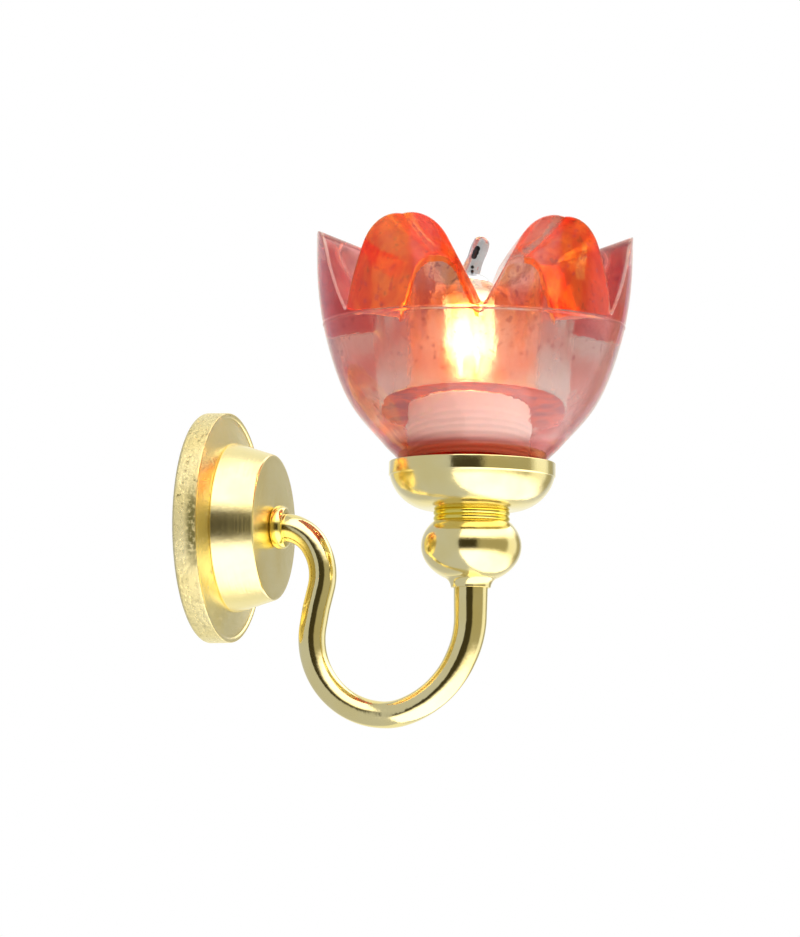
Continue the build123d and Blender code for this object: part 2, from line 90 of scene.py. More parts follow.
# --- Mesh building ----------------------------------------------------------------------------------------
def piece(name, mesh, material, node=None, body="root"):
    """Link a mesh as one piece that stands for a CAD node and rides its body."""
    made = bpy.data.objects.new(name, mesh)
    bpy.context.scene.collection.objects.link(made)
    for each in material if isinstance(material, list) else [material]:
        mesh.materials.append(each)
    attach(made, body)
    if node:
        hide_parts(node)
    return made


def skin(name, rings, loop=True, sharp=SHARP_ANGLE, zones=None):
    """A mesh over rings of points, each closed on itself. Rings of no size become poles.
    zones gives each ring's row of material numbers."""
    count = len(rings[0])
    build = bmesh.new()
    corners = [[build.verts.new(Vector(p) * MM) for p in ring] for ring in rings]
    pairs = len(rings) if loop else len(rings) - 1
    for i in range(pairs):
        ring, above = corners[i], corners[(i + 1) % len(rings)]
        for j in range(count):
            k = (j + 1) % count
            face = build.faces.new((ring[j], ring[k], above[k], above[j]))
            face.smooth = True
            if zones:
                face.material_index = zones[i][j]
    bmesh.ops.remove_doubles(build, verts=build.verts, dist=1e-8)
    bmesh.ops.recalc_face_normals(build, faces=build.faces)
    mesh = bpy.data.meshes.new(name)
    build.to_mesh(mesh)
    build.free()
    mesh.set_sharp_from_angle(angle=sharp)
    return mesh


def circle(radius, height, place, count):
    """One ring about a turning axis."""
    turns = [2 * pi * j / count for j in range(count)]
    return [place @ Vector((radius * cos(a), radius * sin(a), height)) for a in turns]


def turned(name, outline, place=LAMP_AXIS, count=160, loop=True):
    """A solid of revolution from a closed outline of (radius, height) points."""
    return skin(name, [circle(r, h, place, count) for r, h in outline], loop)


def bow(start, end, bulge, steps=16):
    """Points of a circular arc between two points that stands off their chord by bulge, to its left."""
    (x0, y0), (x1, y1) = start, end
    half = hypot(x1 - x0, y1 - y0) / 2
    radius = (half * half + bulge * bulge) / (2 * bulge)
    turn = asin(half / radius)
    ux, uy = (x1 - x0) / 2 / half, (y1 - y0) / 2 / half
    points = []
    for i in range(steps + 1):
        a = turn * (2 * i / steps - 1)
        along, off = radius * sin(a), radius * cos(a) - radius + bulge
        points.append(((x0 + x1) / 2 + ux * along - uy * off, (y0 + y1) / 2 + uy * along + ux * off))
    return points


def softened(outline, size, steps=4, least=radians(22)):
    """Round the corners of a closed outline, and leave its smooth stretches alone."""
    made = []
    for i, here in enumerate(outline):
        before, after = Vector(outline[i - 1]), Vector(outline[(i + 1) % len(outline)])
        corner = Vector(here)
        back, ahead = before - corner, after - corner
        if back.length < 1e-6 or ahead.length < 1e-6 or pi - back.angle(ahead) < least or corner.x < 1e-6:
            made.append(tuple(here))
            continue
        reach = min(size, back.length * 0.45, ahead.length * 0.45)
        first, last = corner + back.normalized() * reach, corner + ahead.normalized() * reach
        for j in range(steps + 1):
            t = j / steps
            made.append(tuple(first * (1 - t) ** 2 + corner * 2 * t * (1 - t) + last * t * t))
    return made


def filleted(points, radii, step):
    """Points along straight runs joined by tangent arcs, about one step apart."""
    made = [Vector(points[0])]
    for i, radius in enumerate(radii):
        before, corner, after = (Vector(p) for p in points[i : i + 3])
        back, ahead = (before - corner).normalized(), (after - corner).normalized()
        half = back.angle(ahead) / 2
        reach = radius / tan(half)
        middle = corner + (back + ahead).normalized() * radius / sin(half)
        first, last = corner + back * reach, corner + ahead * reach
        made += straight(made[-1], first, step)
        start, sweep = first - middle, pi - 2 * half
        side = 1 if start.cross(last - middle) > 0 else -1
        steps = max(2, ceil(radius * sweep / step))
        for j in range(1, steps + 1):
            a = side * sweep * j / steps
            made.append(middle + Matrix.Rotation(a, 2) @ start)
    return made + straight(made[-1], Vector(points[-1]), step)


def straight(start, end, step):
    """Points after start up to end, evenly spaced."""
    count = max(1, round((end - start).length / step))
    return [start.lerp(end, i / count) for i in range(1, count + 1)]


def spread(first, last, count):
    """Numbers after first up to last, evenly spaced."""
    return [first + (last - first) * i / count for i in range(1, count + 1)]


def headings(path):
    """The direction of a path at each of its points."""
    last = len(path) - 1
    return [(path[min(i + 1, last)] - path[max(i - 1, 0)]).normalized() for i in range(len(path))]


# --- Node shorthand ---------------------------------------------------------------------------------------
def node(tree, kind, inputs=None, **settings):
    """Add a shader node. An input is linked to a socket or set to a value."""
    made = tree.nodes.new("ShaderNode" + kind)
    for key, value in settings.items():
        setattr(made, key, value)
    for key, value in (inputs or {}).items():
        if isinstance(value, bpy.types.NodeSocket):
            tree.links.new(value, made.inputs[key])
        else:
            made.inputs[key].default_value = value
    return made


def maths(tree, operation, *values):
    """The result of one Math node."""
    return node(tree, "Math", dict(enumerate(values)), operation=operation).outputs[0]


def product(tree, result, *factors):
    """Values multiplied together."""
    for factor in factors:
        result = maths(tree, "MULTIPLY", result, factor)
    return result


def blend(tree, share, first, second):
    """Two colours mixed by a share."""
    made = node(tree, "Mix", {0: share, 6: first, 7: second}, data_type="RGBA")
    return made.outputs[2]


def step_between(tree, value, low, high, start=0.0, end=1.0):
    """A smooth rise from start to end as a value goes from low to high."""
    inputs = {"Value": value, "From Min": low, "From Max": high, "To Min": start, "To Max": end}
    return node(tree, "MapRange", inputs, interpolation_type="SMOOTHSTEP").outputs[0]


def new_material(name):
    """An empty node material, its tree and its Principled shader."""
    made = bpy.data.materials.new(name)
    made.use_nodes = True
    tree = made.node_tree
    tree.nodes.clear()
    shader = node(tree, "BsdfPrincipled")
    output = node(tree, "OutputMaterial")
    tree.links.new(shader.outputs[0], output.inputs["Surface"])
    return made, tree, shader


def places(tree):
    """Object coordinates in millimetres."""
    coordinates = node(tree, "TexCoord").outputs["Object"]
    scaled = node(tree, "VectorMath", {0: coordinates, "Scale": 1 / MM}, operation="SCALE")
    return scaled.outputs[0]


def axes(tree, vector):
    """The X, Y and Z parts of a vector."""
    return node(tree, "SeparateXYZ", {0: vector}).outputs


def reach_of(tree, first, second):
    """The distance that two parts at right angles make."""
    squares = product(tree, first, first), product(tree, second, second)
    return maths(tree, "SQRT", maths(tree, "ADD", *squares))


def noise(tree, vector, scale, detail=4.0, rough=0.5):
    """Fractal noise over a vector."""
    inputs = {"Vector": vector, "Scale": scale, "Detail": detail, "Roughness": rough}
    return node(tree, "TexNoise", inputs).outputs["Fac"]


def bump(tree, shader, layers):
    """Feed a shader's normal from (height, distance in millimetres) layers."""
    normal = None
    for height, distance in layers:
        inputs = {"Height": height, "Distance": distance * MM, "Strength": 1.0}
        if normal:
            inputs["Normal"] = normal
        normal = node(tree, "Bump", inputs).outputs[0]
    tree.links.new(normal, shader.inputs["Normal"])


def set_inputs(tree, shader, **inputs):
    """Link a shader's inputs to sockets or set them to values, by name, with _ for a space."""
    for key, value in inputs.items():
        socket = shader.inputs[key.replace("_", " ")]
        if isinstance(value, bpy.types.NodeSocket):
            tree.links.new(value, socket)
        else:
            socket.default_value = value


# --- Materials --------------------------------------------------------------------------------------------
PINK = (0.88, 0.38, 0.29, 1)
# Greyer and paler pinks, painted light where light passes straight through the shade's thick wall
PINK_GREY_SEE_THROUGH = (0.76, 0.64, 0.60, 1)
PINK_SEE_THROUGH = (0.96, 0.80, 0.72, 1)
PINK_PALE = (0.96, 0.74, 0.60, 1)
# Whitish pink painted on the shade's edges as a highlight
PINK_WHITE_HIGHLIGHT = (0.98, 0.74, 0.70, 1)
# Warm orange painted on the cavity wall as the bulb's light
WARM_LAMPLIGHT = (1.0, 0.46, 0.16, 1)
# Gold for a painted glint by the arch and on the lip, and for one real lacquer run
GLINT_AND_RUN_GOLD = (1.0, 0.44, 0.05, 1)
MAGENTA = (0.58, 0.11, 0.13, 1)
ROSE = (0.74, 0.24, 0.20, 1)
ORANGE = (1.0, 0.16, 0.006, 1)
ORANGE_RED = (0.80, 0.03, 0.004, 1)
RED = (1.0, 0.16, 0.09, 1)
# Deep red painted as shade in the shade's thick foot
RED_SHADED = (0.30, 0.02, 0.006, 1)
SPECK = (0.36, 0.04, 0.08, 1)
SHEEN_PINK = (0.90, 0.72, 0.66, 1)
SHEEN_ROSE = (0.90, 0.50, 0.46, 1)
SHEEN_ORANGE = (1.0, 0.24, 0.04, 1)
# Near black for a painted dark reflection and two specks on the bulb's tip
TIP_SPOT_BLACK = (0.001, 0.001, 0.001, 1)
BRASS = (0.88, 0.77, 0.38, 1)
BRASS_WARM = (0.86, 0.72, 0.29, 1)
# Deeper gold on the neck and root bead: a painted reflection of the brass around them
BRASS_DEEP_REFLECTED = (0.85, 0.69, 0.05, 1)
# Dull brass for real grime and pits, and for a painted dark reflection on the plate's rim
BRASS_DULL_AND_DARK_REFLECTION = (0.22, 0.19, 0.06, 1)
ACRYLIC_SHADOW = (0.97, 0.84, 0.79, 1)
GLASS_SHADOW = (0.95, 0.93, 0.90, 1)
GLASS_CLEAR = (1.0, 0.98, 0.95, 1)
GLASS_SMOKE = (0.96, 0.95, 0.94, 1)
HEAT_LOW = (1.0, 0.50, 0.12, 1)
HEAT_HIGH = (1.0, 0.70, 0.36, 1)
TUNGSTEN = (0.25, 0.22, 0.20, 1)
SCATTER = (1.0, 0.6, 0.4)

# Pairs of a plain material's two tints
SLEEVE_TINTS = (0.88, 0.86, 0.84, 1), (0.80, 0.78, 0.76, 1)
HOLDER_TINTS = (0.82, 0.80, 0.76, 1), (0.74, 0.71, 0.66, 1)
STEM_TINTS = (0.90, 0.90, 0.88, 1), (0.80, 0.80, 0.78, 1)
CAP_TINTS = (0.80, 0.78, 0.74, 1), (0.55, 0.52, 0.48, 1)
CONTACT_TINTS = (0.85, 0.80, 0.70, 1), (0.60, 0.52, 0.40, 1)
LEAD_TINTS = (0.82, 0.80, 0.76, 1), (0.70, 0.68, 0.64, 1)
PAD_TINTS = (0.86, 0.85, 0.80, 1), (0.62, 0.60, 0.56, 1)
FLOOR_TINTS = (0.86, 0.86, 0.86, 1), (0.82, 0.82, 0.82, 1)

# Where a tint begins, is full, starts to fade and is gone: degrees about the lamp axis, or levels
# Painted light: where the shade's wall is greyer and paler, as if light passed straight through it
SEE_THROUGH_GREY_TURNS = (-60.0, -25.0, 60.0, 100.0)
SEE_THROUGH_PALE_TURNS = (-145.0, -130.0, -20.0, -5.0)
ROSE_FAR_TURNS = (-174.0, -164.0, -132.0, -130.0)
ROSE_NEAR_TURNS = (-14.0, -12.0, 18.0, 28.0)
BRUSHED_LEFT_TURNS = (-133.0, -131.0, -100.0, -92.0)
BRUSHED_THIN_TURNS = (-100.0, -96.0, -76.0, -72.0)
BRUSHED_EDGE_TURNS = (-84.0, -79.0, -74.0, -72.0)
BRUSHED_RIGHT_TURNS = (-52.0, -42.0, -15.0, -11.0)
# Where the painted glint of gold lies by the arch
GLINT_TURNS = (-116.0, -109.0, -101.0, -97.0)
RUN_TURNS = (-36.0, -34.5, -33.0, -31.5)
RUN_LEVELS = (15.0, 15.3, 17.0, 17.6)
# Levels of a painted dark reflection on the wall plate's rim
DARK_REFLECTION_LEVELS = (-3.8, -1.5, 0.5, 3.0)


def brass(name, axis, rough, lines=0.0, line_scale=9.0, pits=0.0, dull=0.0, light=BRASS):
    """Polished brass. axis is the turning axis of its lathe lines, and pits and dull wear its surface. With
    pits, the wall plate's rim also gets a painted dark reflection.
    """
    made, tree, shader = new_material(name)
    place = places(tree)
    clouds = noise(tree, place, 0.3, 3)
    grime = noise(tree, place, 3.2, 8, 0.65)
    colour = blend(tree, step_between(tree, clouds, 0.3, 0.75), light, BRASS_WARM)
    worn = step_between(tree, grime, 0.60, 0.78, 0.0, dull)
    height = [(noise(tree, place, 1.4, 2), 0.012)]
    roughness = maths(tree, "MULTIPLY_ADD", clouds, 0.06, rough)
    if lines:
        turning = lathe_lines(tree, place, axis, line_scale)
        height.append((turning, lines))
        roughness = maths(tree, "MULTIPLY_ADD", turning, 0.05, roughness)
    if pits:
        hollow, grain, dark = rim_wear_and_reflection(tree, place, grime)
        height += [(maths(tree, "SUBTRACT", 1.0, hollow), pits), (grain, pits)]
        # The dark share holds the pits and the rim's painted dark reflection
        worn = maths(tree, "MAXIMUM", worn, dark)
        roughness = maths(tree, "MULTIPLY_ADD", grain, 0.16, roughness)
    # The dull tint covers grime and pits, and on the plate's rim a painted dark reflection
    colour = blend(tree, worn, colour, BRASS_DULL_AND_DARK_REFLECTION)
    roughness = maths(tree, "MULTIPLY_ADD", worn, 0.25, roughness)
    set_inputs(tree, shader, Metallic=1.0, Base_Color=colour, Roughness=roughness)
    bump(tree, shader, height)
    return made


def lathe_lines(tree, place, axis, scale):
    """Noise that is the same all round a turning axis."""
    split = axes(tree, place)
    across = {"X": (1, 2), "Z": (0, 1)}[axis]
    shifted = [split[i] if i else maths(tree, "SUBTRACT", split[i], LAMP_X) for i in across]
    level = maths(tree, "ADD", reach_of(tree, *shifted), split["XYZ".index(axis)])
    inputs = {"W": level, "Scale": scale, "Detail": 3.0, "Roughness": 0.7}
    return node(tree, "TexNoise", inputs, noise_dimensions="1D").outputs["Fac"]


def rim_wear_and_reflection(tree, place, grime):
    """The wall plate's pits and grain, strongest on its rim, and how dark they and a painted dark reflection
    on the rim are.
    """
    _, y, z = axes(tree, place)
    rim = step_between(tree, reach_of(tree, y, z), PLATE_EDGE_R - 0.1, PLATE_EDGE_R)
    side = maths(tree, "MULTIPLY_ADD", rim, 0.75, 0.25)
    spots = step_between(tree, noise(tree, place, 2.2, 8, 0.75), 0.57, 0.66)
    there = step_between(tree, noise(tree, place, 0.5, 2), 0.35, 0.65)
    hollow = product(tree, spots, there, side)
    grain = product(tree, noise(tree, place, 3.5, 6, 0.7), side)
    painted_dark_reflection = product(tree, dark_reflection_patch(tree, place, grime), rim)
    return hollow, grain, maths(tree, "MAXIMUM", product(tree, hollow, 0.9), painted_dark_reflection)


def dark_reflection_patch(tree, place, grime):
    """A painted dark reflection: a dull patch half-way up the wall plate's rim, by its front edge."""
    x, _, z = axes(tree, place)
    front = step_between(tree, x, 0.75, 1.25)
    patchy = step_between(tree, grime, 0.35, 0.55, 0.2, 1.0)
    return product(tree, window(tree, z, *DARK_REFLECTION_LEVELS), front, patchy)


def lets_lamps_through(tree, shader, tint):
    """Let shadow rays pass a glass shader with a tint, so that lamps light what is behind it."""
    output = next(n for n in tree.nodes if n.type == "OUTPUT_MATERIAL")
    shadow = node(tree, "LightPath").outputs["Is Shadow Ray"]
    clear = node(tree, "BsdfTransparent", {"Color": tint})
    mixed = node(tree, "MixShader", {0: shadow, 1: shader.outputs[0], 2: clear.outputs[0]})
    tree.links.new(mixed.outputs[0], output.inputs["Surface"])


def around_lamp(tree, place):
    """The angle about the lamp axis in degrees, from straight out of the wall."""
    x, y, _ = axes(tree, place)
    return maths(tree, "DEGREES", maths(tree, "ARCTAN2", y, maths(tree, "SUBTRACT", x, LAMP_X)))


def window(tree, value, low, rise, fall, high):
    """One where a value lies between rise and fall, easing to nothing at low and high."""
    rising = step_between(tree, value, low, rise)
    return product(tree, rising, step_between(tree, value, fall, high, 1.0, 0.0))


def outer_tint(tree, place, clouds, runs, first, second):
    """The outer face between two tints, with painted light that makes it greyer on the side away from the
    wall and paler low on the front, and painted shade in deep red at the foot. Above the mould line the side
    petals are rose, and lacquer lies over the front ones and in a thin band all round."""
    height = axes(tree, place)[2]
    around = maths(tree, "MULTIPLY_ADD", runs, 14.0, maths(tree, "SUBTRACT", around_lamp(tree, place), 7.0))
    # Painted light: greyer away from the wall and paler low on the front, over a real mottled tint
    grey = product(tree, window(tree, around, *SEE_THROUGH_GREY_TURNS), 0.8)
    colour = blend(tree, maths(tree, "MULTIPLY_ADD", clouds, 0.4, grey), first, second)
    clear = product(tree, window(tree, around, *SEE_THROUGH_PALE_TURNS), 0.7)
    clear = product(tree, clear, step_between(tree, height, 8.4, 9.6, 1.0, 0.0))
    colour = blend(tree, clear, colour, PINK_SEE_THROUGH)
    # Painted shade: deep red in the thick foot
    colour = blend(tree, step_between(tree, height, 4.9, 5.7, 1.0, 0.0), colour, RED_SHADED)
    above = step_between(tree, height, VALLEY_Z - 0.15, VALLEY_Z + 0.1)
    near_side = product(tree, window(tree, around, *ROSE_NEAR_TURNS), 0.6)
    rosy = maths(tree, "MAXIMUM", near_side, window(tree, around, *ROSE_FAR_TURNS))
    colour = blend(tree, product(tree, above, rosy), colour, blend(tree, clouds, MAGENTA, ROSE))
    band = step_between(tree, height, VALLEY_Z + 0.6, VALLEY_Z + 1.6, 0.75, 0.1)
    brushed = maths(tree, "MAXIMUM", band, brush_marks(tree, around))
    return blend(tree, product(tree, above, brushed), colour, lacquer_tint(tree, around, height, runs))


def brush_marks(tree, around):
    """How much lacquer lies on the two front petals."""
    left = window(tree, around, *BRUSHED_LEFT_TURNS)
    thin = product(tree, window(tree, around, *BRUSHED_THIN_TURNS), 0.5)
    edge = product(tree, window(tree, around, *BRUSHED_EDGE_TURNS), 0.7)
    right = window(tree, around, *BRUSHED_RIGHT_TURNS)
    most = maths(tree, "MAXIMUM", maths(tree, "MAXIMUM", left, thin), right)
    return maths(tree, "MAXIMUM", most, edge)


def lacquer_tint(tree, around, height, runs):
    """The lacquer's orange: redder at the petals' outer edges, with a painted glint of gold by the arch, and
    golden in one thin run.
    """
    outward = step_between(tree, around, -127.0, -118.0)
    inward = step_between(tree, around, -36.0, -26.0, 1.0, 0.0)
    patch = product(tree, outward, inward, step_between(tree, runs, 0.44, 0.54, 0.3, 1.0))
    # A painted glint of gold along the arch
    painted_glint = product(tree, window(tree, around, *GLINT_TURNS), 0.6)
    run = product(tree, window(tree, around, *RUN_TURNS), window(tree, height, *RUN_LEVELS))
    return blend(tree, maths(tree, "MAXIMUM", painted_glint, run), blend(tree, patch, ORANGE_RED, ORANGE), GLINT_AND_RUN_GOLD)


def acrylic(name, clear, rough, first, second, sheen):
    """Cast acrylic between two tints. clear is how much light passes straight through instead of scattering
    in the lacquer, and sheen tints what the face mirrors. The cavity's wall is smoother above the mould
    line."""
    made, tree, shader = new_material("shade_" + name)
    place = places(tree)
    set_inputs(tree, shader, Transmission_Weight=clear, IOR=1.49, Specular_Tint=sheen, Roughness=rough)
    clouds = noise(tree, place, 0.35, 4, 0.6)
    stretched = node(tree, "Mapping", {"Vector": place, "Scale": (1.0, 1.0, 0.35)}).outputs[0]
    runs = noise(tree, stretched, 0.9, 5, 0.6)
    waves = noise(tree, place, 0.55, 3)
    grain = noise(tree, place, 3.0, 4)
    if name == "outer":
        colour = outer_tint(tree, place, clouds, runs, first, second)
    else:
        colour = blend(tree, step_between(tree, runs, 0.38, 0.62), first, second)
    height = axes(tree, place)[2]
    if name == "inner":
        set_inputs(tree, shader, Roughness=step_between(tree, height, VALLEY_Z, VALLEY_Z + 1.0, rough, 0.06))
    specks = step_between(tree, noise(tree, place, 2.0, 3, 0.5), 0.62, 0.66, 0.0, 0.6)
    specks = product(tree, specks, step_between(tree, height, CAVITY_FLOOR_Z, CAVITY_FLOOR_Z + 1.0))
    set_inputs(tree, shader, Base_Color=blend(tree, specks, colour, SPECK))
    bump(tree, shader, [(waves, 0.035), (runs, 0.02), (grain, 0.003)])
    lets_lamps_through(tree, shader, ACRYLIC_SHADOW)
    return made


def nylon(name, colour, shade, rough=0.45):
    """Moulded plastic that lets a little light in."""
    made, tree, shader = new_material(name)
    place = places(tree)
    clouds = noise(tree, place, 0.8, 4)
    set_inputs(tree, shader, Base_Color=blend(tree, clouds, colour, shade), Roughness=rough)
    set_inputs(tree, shader, Subsurface_Weight=0.25, Subsurface_Radius=SCATTER, Subsurface_Scale=0.6 * MM)
    bump(tree, shader, [(noise(tree, place, 6.0, 4), 0.01)])
    return made


def bulb_envelope(name):
    """Thin clear glass, frosted around the filament, with a painted dark reflection and two small dark
    specks on its tip.
    """
    made, tree, shader = new_material(name)
    place = places(tree)
    colour = blend(tree, noise(tree, place, 1.3, 4), GLASS_CLEAR, GLASS_SMOKE)
    for level, aside, reach in TIP_DARK_SPOTS:
        middle = BULB_PLACE @ Vector((aside, -TIP_R, TIP_ROOT_H)) + TIP_WAY * level
        apart = node(tree, "VectorMath", {0: place, 1: middle}, operation="DISTANCE").outputs["Value"]
        colour = blend(tree, step_between(tree, apart, reach * 0.8, reach, 1.0, 0.0), colour, TIP_SPOT_BLACK)
    height = axes(tree, place)[2]
    high = step_between(tree, height, GLOW_HIGH_Z + 0.1, GLOW_HIGH_Z + 0.9, 1.0, 0.0)
    low = step_between(tree, height, GLOW_LOW_Z, GLOW_LOW_Z + 1.0)
    frost = maths(tree, "MULTIPLY_ADD", product(tree, high, low), 0.47, 0.03)
    set_inputs(tree, shader, Transmission_Weight=1.0, IOR=1.5, Base_Color=colour, Roughness=frost)
    bump(tree, shader, [(noise(tree, place, 1.1, 2), 0.02)])
    lets_lamps_through(tree, shader, GLASS_SHADOW)
    return made


def hot_wire(name, strength):
    """Tungsten at working heat, hottest half-way up its arch."""
    made, tree, shader = new_material(name)
    place = places(tree)
    height = axes(tree, place)[2]
    heat = window(tree, height, GLOW_LOW_Z, GLOW_LOW_Z + 1.4, GLOW_HIGH_Z - 1.4, GLOW_HIGH_Z + 0.2)
    grain = noise(tree, place, 5.0, 2)
    power = product(tree, maths(tree, "MULTIPLY_ADD", grain, 0.1, heat), strength)
    set_inputs(tree, shader, Emission_Color=blend(tree, heat, HEAT_LOW, HEAT_HIGH), Emission_Strength=power)
    set_inputs(tree, shader, Base_Color=TUNGSTEN, Metallic=1.0, Roughness=0.4)
    return made


def metal(name, colour, worn, rough):
    """Plain plated metal with a brushed, slightly worn surface."""
    made, tree, shader = new_material(name)
    place = places(tree)
    clouds = noise(tree, place, 1.6, 5)
    tint = blend(tree, step_between(tree, clouds, 0.4, 0.7), colour, worn)
    roughness = maths(tree, "MULTIPLY_ADD", clouds, 0.15, rough)
    set_inputs(tree, shader, Metallic=1.0, Base_Color=tint, Roughness=roughness)
    bump(tree, shader, [(noise(tree, place, 8.0, 3), 0.006)])
    return made


def rubbery(name, colour, shade, rough, grain_scale, depth):
    """Foam, cable insulation or paper: matt, with a fine grain."""
    made, tree, shader = new_material(name)
    grain = noise(tree, places(tree), grain_scale, 5, 0.6)
    tint = blend(tree, grain, colour, shade)
    set_inputs(tree, shader, Base_Color=tint, Roughness=maths(tree, "MULTIPLY_ADD", grain, 0.2, rough))
    bump(tree, shader, [(grain, depth)])
    return made


# --- Wall plate and canopy, turned about X ----------------------------------------------------------------
PLATE_R = radius_of("wall_plate")
PLATE_T = levels("wall_plate", "x")[1]
PLATE_EDGE_R = PLATE_R - 0.02
RIM_T = 1.62
LIP_W = 0.24
LIP_H = 0.1
PAD_R, PAD_T = radius_of("fixing_pad"), levels("fixing_pad", "x")[1]
CANOPY_BASE_R = radius_of("canopy")
CANOPY_X = levels("canopy", "x")[1]
CANOPY_NOSE_R = 4.8
CANOPY_WALL = 0.55
CANOPY_NOSE_WALL = 0.6
BUSH_R = 1.22
ARM_HOLE_R = BUSH_R - 0.27
PLATE_BACK_DROP = 0.03
PLATE_CHAMFER_W, PLATE_CHAMFER_H = 0.12, 0.16
BEAD_ROUND = 0.28


def make_plate():
    """The cast back plate: a tapered side, a raised lip and a face that rises to the canopy."""
    lip_r = PLATE_EDGE_R - LIP_W
    outline = [
        (BUSH_R, PLATE_T),
        (BUSH_R, PAD_T),
        (PAD_R, PAD_T),
        (PAD_R, PLATE_BACK_DROP),
        (PLATE_R - PLATE_CHAMFER_W, 0.0),
        (PLATE_R, PLATE_CHAMFER_H),
        (PLATE_EDGE_R, RIM_T),
        (lip_r, RIM_T),
        (lip_r - LIP_H, RIM_T - LIP_H),
        (CANOPY_BASE_R, PLATE_T),
    ]
    mesh = turned("plate_casting", softened(outline, 0.16, 6), WALL_AXIS, 192)
    finish = brass("plate_brass", "X", 0.15, 0.004, 4.0, 0.10, 0.6)
    piece("plate_casting", mesh, finish, "wall_plate")


def make_canopy():
    """The hollow cone with its flat nose."""
    inner_x = CANOPY_X - CANOPY_NOSE_WALL
    outline = [
        (CANOPY_BASE_R - CANOPY_WALL, PLATE_T),
        (CANOPY_BASE_R, PLATE_T),
        (CANOPY_NOSE_R, CANOPY_X),
        (ARM_HOLE_R, CANOPY_X),
        (ARM_HOLE_R, inner_x),
        (CANOPY_NOSE_R - CANOPY_WALL, inner_x),
    ]
    mesh = turned("canopy_cone", softened(outline, 0.14, 5), WALL_AXIS, 192)
    piece("canopy_cone", mesh, brass("canopy_brass", "X", 0.17, 0.008, 14.0), "canopy")


def make_root_bead():
    """The turned bead where the arm leaves the canopy."""
    low, high = levels("arm_root_bead", "x")
    crown = radius_of("arm_root_bead")
    edge = crown - BEAD_ROUND
    turns = [radians(-90 + 180 * i / 16) for i in range(17)]
    side = [(edge + (crown - edge) * cos(a), (low + high) / 2 + (high - low) / 2 * sin(a)) for a in turns]
    mesh = turned("root_bead", [(ARM_HOLE_R, high), (ARM_HOLE_R, low)] + side, WALL_AXIS, 96)
    # Its deeper gold is a painted reflection of the brass around it
    finish = brass("bead_brass", "X", 0.10, 0.003, 8.0, light=BRASS_DEEP_REFLECTED)
    piece("root_bead", mesh, finish, "arm_root_bead")


# --- Arm --------------------------------------------------------------------------------------------------
ARM_POINTS = [
    (2.4, 0),
    (6.75, 0),
    (8.23, -2.7),
    (7.59, -5.35),
    (6.49, -12.0),
    (13.0, -12.42),
    (16.35, -11.15),
    (LAMP_X, -7.3),
]
ARM_RADII = [2.6, 3.6, 3.6, 5.05, 4.0, 6.4, 6.2]
ARM_END_Z = -3.0
ARM_ROOT_R, ARM_LOW_R, ARM_TOP_R, ARM_BORE_R = 0.93, 0.88, 1.14, 0.62


def make_arm():
    """The swan neck: a tube swept along its centreline, its gauge swelling towards the lamp."""
    path = filleted(ARM_POINTS + [(LAMP_X, ARM_END_Z)], ARM_RADII, 0.12)
    lowest = min(range(len(path)), key=lambda i: path[i].y)
    gauges = [ARM_ROOT_R] + spread(ARM_ROOT_R, ARM_LOW_R, lowest)
    gauges += spread(ARM_LOW_R, ARM_TOP_R, len(path) - 1 - lowest)
    ways = headings(path)
    rings = [tube_ring(*each) for each in zip(path, ways, gauges)]
    bore = [tube_ring(centre, way, ARM_BORE_R) for centre, way in zip(path, ways)]
    mesh = skin("swan_neck", rings + bore[::-1])
    piece("swan_neck", mesh, brass("arm_brass", "Z", 0.085, dull=0.15), "arm_tube")


def tube_ring(centre, way, radius, count=72):
    """A ring across a path in the XZ plane."""
    across = Vector((way.y, 0, -way.x))
    turns = [2 * pi * j / count for j in range(count)]
    middle = Vector((centre.x, 0, centre.y))
    return [middle + across * (radius * cos(a)) + Vector((0, radius * sin(a), 0)) for a in turns]


# --- Collar, ball, neck and cup, turned about the lamp axis -----------------------------------------------
def make_collar():
    """The flared collar under the ball."""
    low, high = levels("arm_top_collar")
    top_r, low_r, hole = radius_of("arm_top_collar"), 1.3, ARM_TOP_R + 0.02
    outline = [(hole, high), (hole, low)] + bow((low_r, low), (top_r, high), 0.1)
    mesh = turned("top_collar", softened(outline, 0.06), count=96)
    finish = brass("collar_brass", "Z", 0.09, 0.002, 8.0)
    piece("top_collar", mesh, finish, "arm_top_collar")


NIPPLE_HOLE_R = 1.27
BALL_HALF_H = 2.45
BALL_Z = -1.38
NECK_GROOVE = 0.1


def make_ball():
    """The oblate ball, cut flat where the collar and neck meet it."""
    low, high = levels("ball_knop")
    wide, hole = radius_of("ball_knop"), NIPPLE_HOLE_R
    first, last = asin((low - BALL_Z) / BALL_HALF_H), asin((high - BALL_Z) / BALL_HALF_H)
    turns = [first + (last - first) * i / 48 for i in range(49)]
    side = [(wide * cos(a), BALL_Z + BALL_HALF_H * sin(a)) for a in turns]
    mesh = turned("ball", softened([(hole, high), (hole, low)] + side, 0.08), count=160)
    piece("ball", mesh, brass("ball_brass", "Z", 0.075, 0.002, 6.0), "ball_knop")


def make_neck():
    """The short neck with two shallow rings."""
    low, high = levels("neck_spacer")
    wide, hole = radius_of("neck_spacer"), NIPPLE_HOLE_R
    middle, waist = (low + high) / 2, wide - NECK_GROOVE
    low_ring = bow((waist, low), (waist, middle), -NECK_GROOVE, 12)
    rings = low_ring[:-1] + bow((waist, middle), (waist, high), -NECK_GROOVE, 12)
    mesh = turned("neck_rings", [(hole, high), (hole, low)] + rings, count=160)
    # Its deeper gold is a painted reflection of the brass around it
    finish = brass("neck_brass", "Z", 0.09, 0.002, 8.0, light=BRASS_DEEP_REFLECTED)
    piece("neck_rings", mesh, finish, "neck_spacer")


